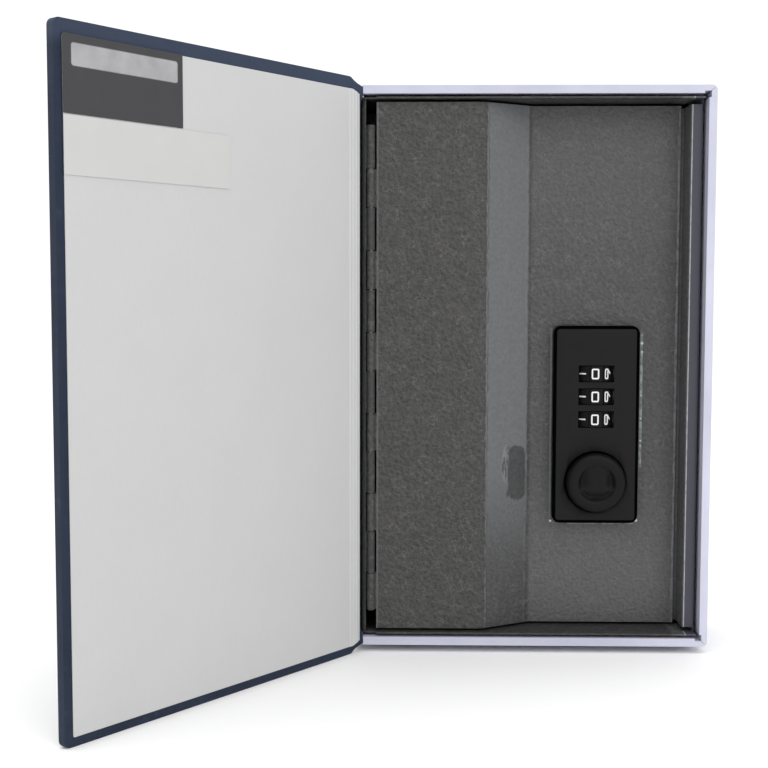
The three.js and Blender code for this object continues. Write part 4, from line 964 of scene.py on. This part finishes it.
def slab(front, back, ring=False):
    """Front and back grid of a sheet, joined round the rim. A ring's last row meets its first."""
    rows, columns = front.shape[:2]
    index = np.arange(rows * columns).reshape(rows, columns)
    if ring:
        index = np.concatenate([index, index[:1]])
        rims = [index[:, 0], index[::-1, -1]]
    else:
        rims = [np.concatenate([index[0, :-1], index[:-1, -1], index[-1, :0:-1], index[::-1, 0]])]
    count = rows * columns
    face = quads(index)
    sides = [np.stack([rim[1:], rim[:-1], rim[:-1] + count, rim[1:] + count], -1) for rim in rims]
    if ring:
        sides = [side[:, ::-1] for side in sides]
    points = np.concatenate([front.reshape(-1, 3), back.reshape(-1, 3)])
    return points, np.concatenate([face, face[:, ::-1] + count, *sides])


print("grid helpers ready")

# %% [markdown]
# ## The joint of the front cover
# Between the front board and the spine there is only cloth, folded in at the head and the tail, and
# the paper lining over it. There the cover folds. The cloth is pulled in from the height of the
# board to the height of the spine, so its ends run at a slant. One body has two skins: the outer
# one runs from the outside of the board to the outside of the spine, the inner one from the inside
# of the board to the page block.

# %% Curves carried up the book
BOOK_HEIGHT = 240
FOLD_IN = 0.28
FLARE_FROM_MIDDLE = (108, 113)
JOINT_ROWS = 120
JOINT_POINTS = 28


def opened(along, out):
    """A point of the closed cover's frame, at its place while the cover stands open, in mm."""
    angle = math.radians(-COVER_OPEN_DEG)
    x = along * math.cos(angle) - out * math.sin(angle)
    y = along * math.sin(angle) + out * math.cos(angle)
    return np.array([HINGE_LINE[0] + x, HINGE_LINE[1] + y])


def curve_between(first, last, leave, arrive):
    """A cubic curve: (1-t)^3 a + 3(1-t)^2 t b + 3(1-t) t^2 c + t^3 d, with b and c off the ends."""
    t = np.linspace(0, 1, JOINT_POINTS)[:, None]
    a, d = np.array(first), np.array(last)
    b, c = a + leave, d + arrive
    return (1 - t) ** 3 * a + 3 * (1 - t) ** 2 * t * b + 3 * (1 - t) * t**2 * c + t**3 * d


def slope(x, start, end):
    """0 before start, 1 after end, 3t^2 - 2t^3 between."""
    t = np.clip((x - start) / (end - start), 0, 1)
    return t * t * (3 - 2 * t)


def carried_up(line, board_ends, spine_ends, flare=0.0):
    """The line at each height between two ends. They keep the board's level at first and then move
    evenly to the spine's. Close to head and tail the line reaches further out by the flare times
    the fourth power of the way along it."""
    along = np.linspace(0, 1, len(line))
    share = np.clip((along - FOLD_IN) / (1 - FOLD_IN), 0, 1)
    low, high = (b + (s - b) * share for b, s in zip(board_ends, spine_ends))
    up = np.linspace(0, 1, JOINT_ROWS)[:, None]
    height = low * (1 - up) + high * up
    reach = flare * along**4 * slope(abs(height - BOOK_HEIGHT / 2), *FLARE_FROM_MIDDLE)
    return np.stack([line[:, 0] + reach, line[:, 1] + 0 * reach, height], -1)


INWARDS = opened(-1, 0) - opened(0, 0)
print("into the open cover:", INWARDS.round(3))

# %% Joint of the front cover
BOARD_ENDS = (0.05, 239.95)
SPINE_ENDS = (2.85, 237.15)
INNER_SPINE_ENDS = (3.7, 236.3)
FLARE = 1.6
JOINT_SHARP = math.radians(50)


def joint_body(name, skins, finish, node, still, moving):
    """Two skins closed round the rim. What lies past `still` stays with the case, and what lies
    past `moving` goes with the cover."""
    mesh = grid_mesh(name, [slab(*skins)])
    piece = finished(name, mesh, finish, "cover", JOINT_SHARP)
    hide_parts(node)
    places = [(x * MM, y * MM, BOOK_HEIGHT / 2 * MM) for x, y in (still, moving)]
    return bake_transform(piece, "case", "cover", *places)


outer_skin = curve_between(opened(5.9, -4.16), (-76.71, -47.4), INWARDS * 1.7, (0, -1.9))
inner_skin = curve_between(opened(5.9, -0.95), (-74.1, -49.35), INWARDS * 1.6, (-1.4, -0.4))
joint = joint_body(
    "front_joint_cloth_curved",
    [
        carried_up(outer_skin, BOARD_ENDS, SPINE_ENDS),
        carried_up(inner_skin, BOARD_ENDS, INNER_SPINE_ENDS, FLARE),
    ],
    CLOTH,
    "front_joint_cloth",
    still=(-75.65, -49.15),
    moving=(-79.0, -52.0),
)
print(joint.name, "is", round(abs(outer_skin[0] - inner_skin[0]).max(), 1), "mm thick at the board")

# %% Lining over the joint
LINING_AT_BOARD = (3.4, 235.0)
LINING_AT_SPINE = (5.6, 232.8)
LINING_THICK = 0.3
CREASE_DEPTH = 0.09
CREASE_PITCH = 1.7
TAPER = 1.2

# across the lining: its line, plus a sine of creases, plus or minus half the paper's thickness
lining_line = curve_between(opened(6.4, -0.29), (-74.0, -48.7), INWARDS * 2.4, (0.0, -2.1))
step = np.linalg.norm(np.diff(lining_line, axis=0), axis=1)
run = np.concatenate([[0], np.cumsum(step)])[:, None]
way = np.gradient(lining_line, axis=0)
side = np.stack([-way[:, 1], way[:, 0]], 1) / np.linalg.norm(way, axis=1)[:, None]
creases = CREASE_DEPTH * np.sin(2 * math.pi * run / CREASE_PITCH) * np.minimum(run / TAPER, 1)
half = LINING_THICK / 2 * np.clip(run / TAPER, 0.1, 1)
lining = joint_body(
    "front_joint_lining_curved",
    [
        carried_up(lining_line + side * (creases + sign * half), LINING_AT_BOARD, LINING_AT_SPINE)
        for sign in (1, -1)
    ],
    PAPER,
    "front_joint_lining",
    still=(-73.9, -49.4),
    moving=(-77.5, -53.4),
)
print(lining.name, "is", round(float(run[-1, 0]), 1), "mm wide")

# %% [markdown]
# ## Numbers on the dials
# Each dial is a ten-sided drum with a number on every flat. The numbers lie on their side, so that
# they read upright with the book on its back. Text could be set in a font and made a mesh, but a
# number is only a pen line: a path with rounded corners, drawn with a round nib, barely proud.

# %% Strokes of the numbers
STROKES = {
    0: [[(0, 1), (1, 1), (1, -1), (-1, -1), (-1, 1), (0, 1)]],
    1: [[(0, 1), (0, -1)]],
    2: [[(-1, 0.9), (-0.8, 1), (1, 1), (1, 0), (-1, 0), (-1, -1), (1, -1)]],
    3: [[(-1, 1), (1, 1), (1, -1), (-1, -1)], [(-0.4, 0), (0.85, 0)]],
    4: [[(0.45, -1), (0.45, 1), (-1, -0.35), (1, -0.35)]],
    5: [[(1, 1), (-1, 1), (-1, 0.05), (1, 0.05), (1, -1), (-1, -1)]],
    6: [[(-0.1, 1), (-1, 0.1), (-1, -1), (1, -1), (1, 0.1), (-0.85, 0.1)]],
    7: [[(-1, 1), (1, 1), (-0.2, -1)]],
    8: [[(0, 1), (1, 1), (1, -1), (-1, -1), (-1, 1), (0, 1)], [(-0.85, 0), (0.85, 0)]],
    9: [[(0.1, -1), (1, -0.1), (1, 1), (-1, 1), (-1, -0.1), (0.85, -0.1)]],
}
print("numbers:", *STROKES)

# %% Pen lines
NUMBER_HALF_TALL = 1.3
NUMBER_HALF_WIDE = 1.95
NIB = 0.31
INK_RAISED = 0.05
INK_SUNK = 0.06
ACROSS_NIB = np.array([-1, -0.88, 0.88, 1])
ROUND_OF_NIB = np.array([0.5, 1, 1, 0.5])


def rounded_path(corners, cut=0.3, steps=5):
    """Each corner c gives way to a parabola between a point a before it and a point b after it:
    (1-t)^2 a + 2(1-t) t c + t^2 b."""
    p = np.array(corners, float)
    before, after = p[:-2] - p[1:-1], p[2:] - p[1:-1]
    reach = np.minimum(np.linalg.norm(before, axis=1), np.linalg.norm(after, axis=1)) * 0.5
    reach = np.minimum(reach, cut)[:, None]
    start = p[1:-1] + before / np.linalg.norm(before, axis=1)[:, None] * reach
    end = p[1:-1] + after / np.linalg.norm(after, axis=1)[:, None] * reach
    t = np.linspace(0, 1, steps)[None, :, None]
    bends = (1 - t) ** 2 * start[:, None] + 2 * (1 - t) * t * p[1:-1, None] + t**2 * end[:, None]
    return np.concatenate([p[:1], bends.reshape(-1, 2), p[-1:]])


def pen_line(corners, raised):
    """The nib's width across the path. Past each end it narrows as a half circle does, as the
    square root of 1 minus the distance squared. A path that ends where it began is a ring."""
    shape = rounded_path(corners) * (NUMBER_HALF_WIDE, NUMBER_HALF_TALL)
    ring = bool(np.allclose(shape[0], shape[-1]))
    if ring:
        shape = shape[:-1]
        way = np.roll(shape, -1, 0) - np.roll(shape, 1, 0)
        half = np.full(len(shape), NIB)
    else:
        turn_in = np.sin(np.linspace(1.45, 0, 5))
        first, last = shape[1] - shape[0], shape[-1] - shape[-2]
        first, last = first / np.linalg.norm(first), last / np.linalg.norm(last)
        head = shape[0] - turn_in[:-1, None] * first * NIB
        tail = shape[-1] + turn_in[:-1][::-1, None] * last * NIB
        cap = np.sqrt(1 - turn_in[:-1] ** 2) * NIB
        half = np.concatenate([cap, np.full(len(shape), NIB), cap[::-1]])
        shape = np.concatenate([head, shape, tail])
        way = np.gradient(shape, axis=0)
    side = np.stack([-way[:, 1], way[:, 0]], 1) / np.linalg.norm(way, axis=1)[:, None]
    flat = shape[:, None] + side[:, None] * half[:, None, None] * ACROSS_NIB[None, :, None]
    lift = np.broadcast_to(ROUND_OF_NIB * raised, flat.shape[:2])
    top = np.concatenate([flat, lift[..., None]], -1)
    under = top.copy()
    under[..., 2] = -INK_SUNK
    return slab(top, under, ring)


print("a pen line is", 2 * NIB, "mm wide and", INK_RAISED, "mm proud")

# %% Numbers on the dials
DIAL_AXIS = (26.35, -30.0)
DIAL_HEIGHTS = (117.6, 107.85, 98.1)
FLAT_DISTANCE = 8.907
FLATS = 10
NUMBER_SHIFT = 0.55
INK_STEP = 0.01


def on_flat(points, flat, height):
    """A number laid on a flat: from the axis, its z and the flat's distance go outwards, its y goes
    back round the dial, and its x goes up the book."""
    angle = 2 * math.pi * flat / FLATS
    out = np.array([math.sin(angle), -math.cos(angle)])
    forward = np.array([math.cos(angle), math.sin(angle)])
    level = DIAL_AXIS + out * (FLAT_DISTANCE + points[:, 2:3])
    level = level - forward * (points[:, 1:2] + NUMBER_SHIFT)
    return np.concatenate([level, height + points[:, :1]], 1)


def dial_numbers(dial, height):
    """The flat k steps towards the free side carries ten less k."""
    parts = []
    for flat in range(FLATS):
        for order, corners in enumerate(STROKES[-flat % FLATS]):
            points, faces = pen_line(corners, INK_RAISED - INK_STEP * order)
            parts.append((on_flat(points, flat, height), faces))
    name = f"dial_numbers_{dial}"
    return put_up(name, grid_mesh(name, parts), NUMBERS, f"dial_{dial}")


for dial, height in enumerate(DIAL_HEIGHTS, 1):
    piece = dial_numbers(dial, height)
    print(piece.name, "faces:", len(piece.data.polygons))

# %% [markdown]
# ## The knob
# The knob is one moulding: a base, a rounded ring, and inside the ring a dish with a bar across it
# for the fingers. Turning a profile gives everything but the bar. So the surface is worked out in
# rings and spokes, and each point asks how deep the dish is there, less the bar, plus the fine ribs
# of its floor.

# %% Face of the knob
RING_CREST = 9.5
RING_ROUND = 0.12
DISH = 8.0
DISH_RIM = 8.15
DISH_SOFT = 2.15
DISH_DEPTH = 2.15
GRIP_HALF = 4.7
GRIP_END = -4.6
GRIP_END_SOFT = 2.0
GRIP_DROP = 0.55
GRIP_SAG = 0.2
GRIP_SOFT = 1.9
SADDLE_Z = -2.6
SADDLE_HALF = 1.2
RIB_DEPTH = 0.12
RIB_PITCH = 0.95
RIBS_STOP = (0.8, 1.6)


def face_depth(x, z):
    """How far the face lies back at a point. The ring falls off with the distance from its crest,
    squared. Inside it lies the dish with its ribs, a sine, and its low saddle, a bell curve. The
    bar across it is a shallow parabola. Soft steps lead from each to the next."""
    radius = np.hypot(x, z)
    ring = RING_ROUND * (radius - RING_CREST) ** 2
    in_dish = 1 - slope(radius, DISH_RIM - DISH_SOFT, DISH_RIM)
    on_bar = 1 - slope(np.abs(x), GRIP_HALF - GRIP_SOFT, GRIP_HALF + GRIP_SOFT)
    on_bar = on_bar * slope(z, GRIP_END - GRIP_END_SOFT, GRIP_END + GRIP_END_SOFT)
    ribs = RIB_DEPTH * np.sin(2 * math.pi * z / RIB_PITCH) * slope(DISH - radius, *RIBS_STOP)
    saddle = 0.5 * np.exp(-(((z - SADDLE_Z) / SADDLE_HALF) ** 2))
    bar_top = GRIP_DROP + GRIP_SAG * (x / GRIP_HALF) ** 2
    in_front = (DISH_DEPTH * (1 - saddle) + ribs) * (1 - on_bar) + bar_top * on_bar
    return np.where(radius > DISH_RIM, ring, ring * (1 - in_dish) + in_front * in_dish)


print("the dish lies", DISH_DEPTH, "mm back and its bar", GRIP_DROP, "mm")

# %% Knob
KNOB_FRONT_Y = -44.4
FACE_RADIUS = 10
FACE_RINGS = 90
RING_EDGE = [(10.4, 0.08), (11.1, 0.28), (11.7, 0.65), (12.15, 1.15), (12.42, 1.8), (12.55, 2.6)]
KNOB_FOOT = [(12.75, 4.6), (12.84, 5.9), (12.7, 6.08)]
KNOB_STEM = [(5.6, 6.08), (5.6, 11.1)]
SPOKES = 192


def knob_mesh():
    """Rings of the face from its middle outwards, then the side, the back and the stem. A point
    lies at radius times cosine and sine of its spoke's angle."""
    angle = np.linspace(0, 2 * math.pi, SPOKES, endpoint=False)
    radii = np.linspace(0, FACE_RADIUS, FACE_RINGS)
    x, z = radii[:, None] * np.cos(angle), radii[:, None] * np.sin(angle)
    face = np.stack([x, face_depth(x, z), z], -1)
    outline = np.array([*RING_EDGE, *KNOB_FOOT, *KNOB_STEM, (0, KNOB_STEM[-1][1])])
    depth = np.broadcast_to(outline[:, 1:], (len(outline), SPOKES))
    around = np.stack([outline[:, :1] * np.cos(angle), depth, outline[:, :1] * np.sin(angle)], -1)
    rings = np.concatenate([face, around]) + (KNOB_MIDDLE[0], KNOB_FRONT_Y, KNOB_MIDDLE[1])
    index = np.arange(rings.shape[0] * SPOKES).reshape(-1, SPOKES)
    index = np.concatenate([index, index[:, :1]], 1)
    return grid_mesh("knob_moulded", [(rings.reshape(-1, 3), quads(index))])


knob = put_up("knob_moulded", knob_mesh(), KNOB_BLACK, "latch")
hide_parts("knob")
print("knob faces:", len(knob.data.polygons))

# %% [markdown]
# ## Floor
# The safe stands on a pale floor, which isn't part of it.

# %% Floor
FLOOR_SIZE = 6.0
FLOOR_TONES = ((0.93, 0.93, 0.93, 1), (0.95, 0.95, 0.95, 1))


def pale_floor():
    """One square at the level that the safe stands on."""
    half = FLOOR_SIZE / 2
    corners = [(-half, -half, 0), (half, -half, 0), (half, half, 0), (-half, half, 0)]
    mesh = bpy.data.meshes.new("floor")
    mesh.from_pydata(corners, [], [(0, 1, 2, 3)])
    white = Finish("floor_white")
    cloud = white.noise(white.place(), 300, seed=29.0)
    mesh.materials.append(white.coat(white.mix(cloud, *FLOOR_TONES), 0.7))
    floor = bpy.data.objects.new("floor", mesh)
    scene.collection.objects.link(floor)


pale_floor()
print("floor laid")
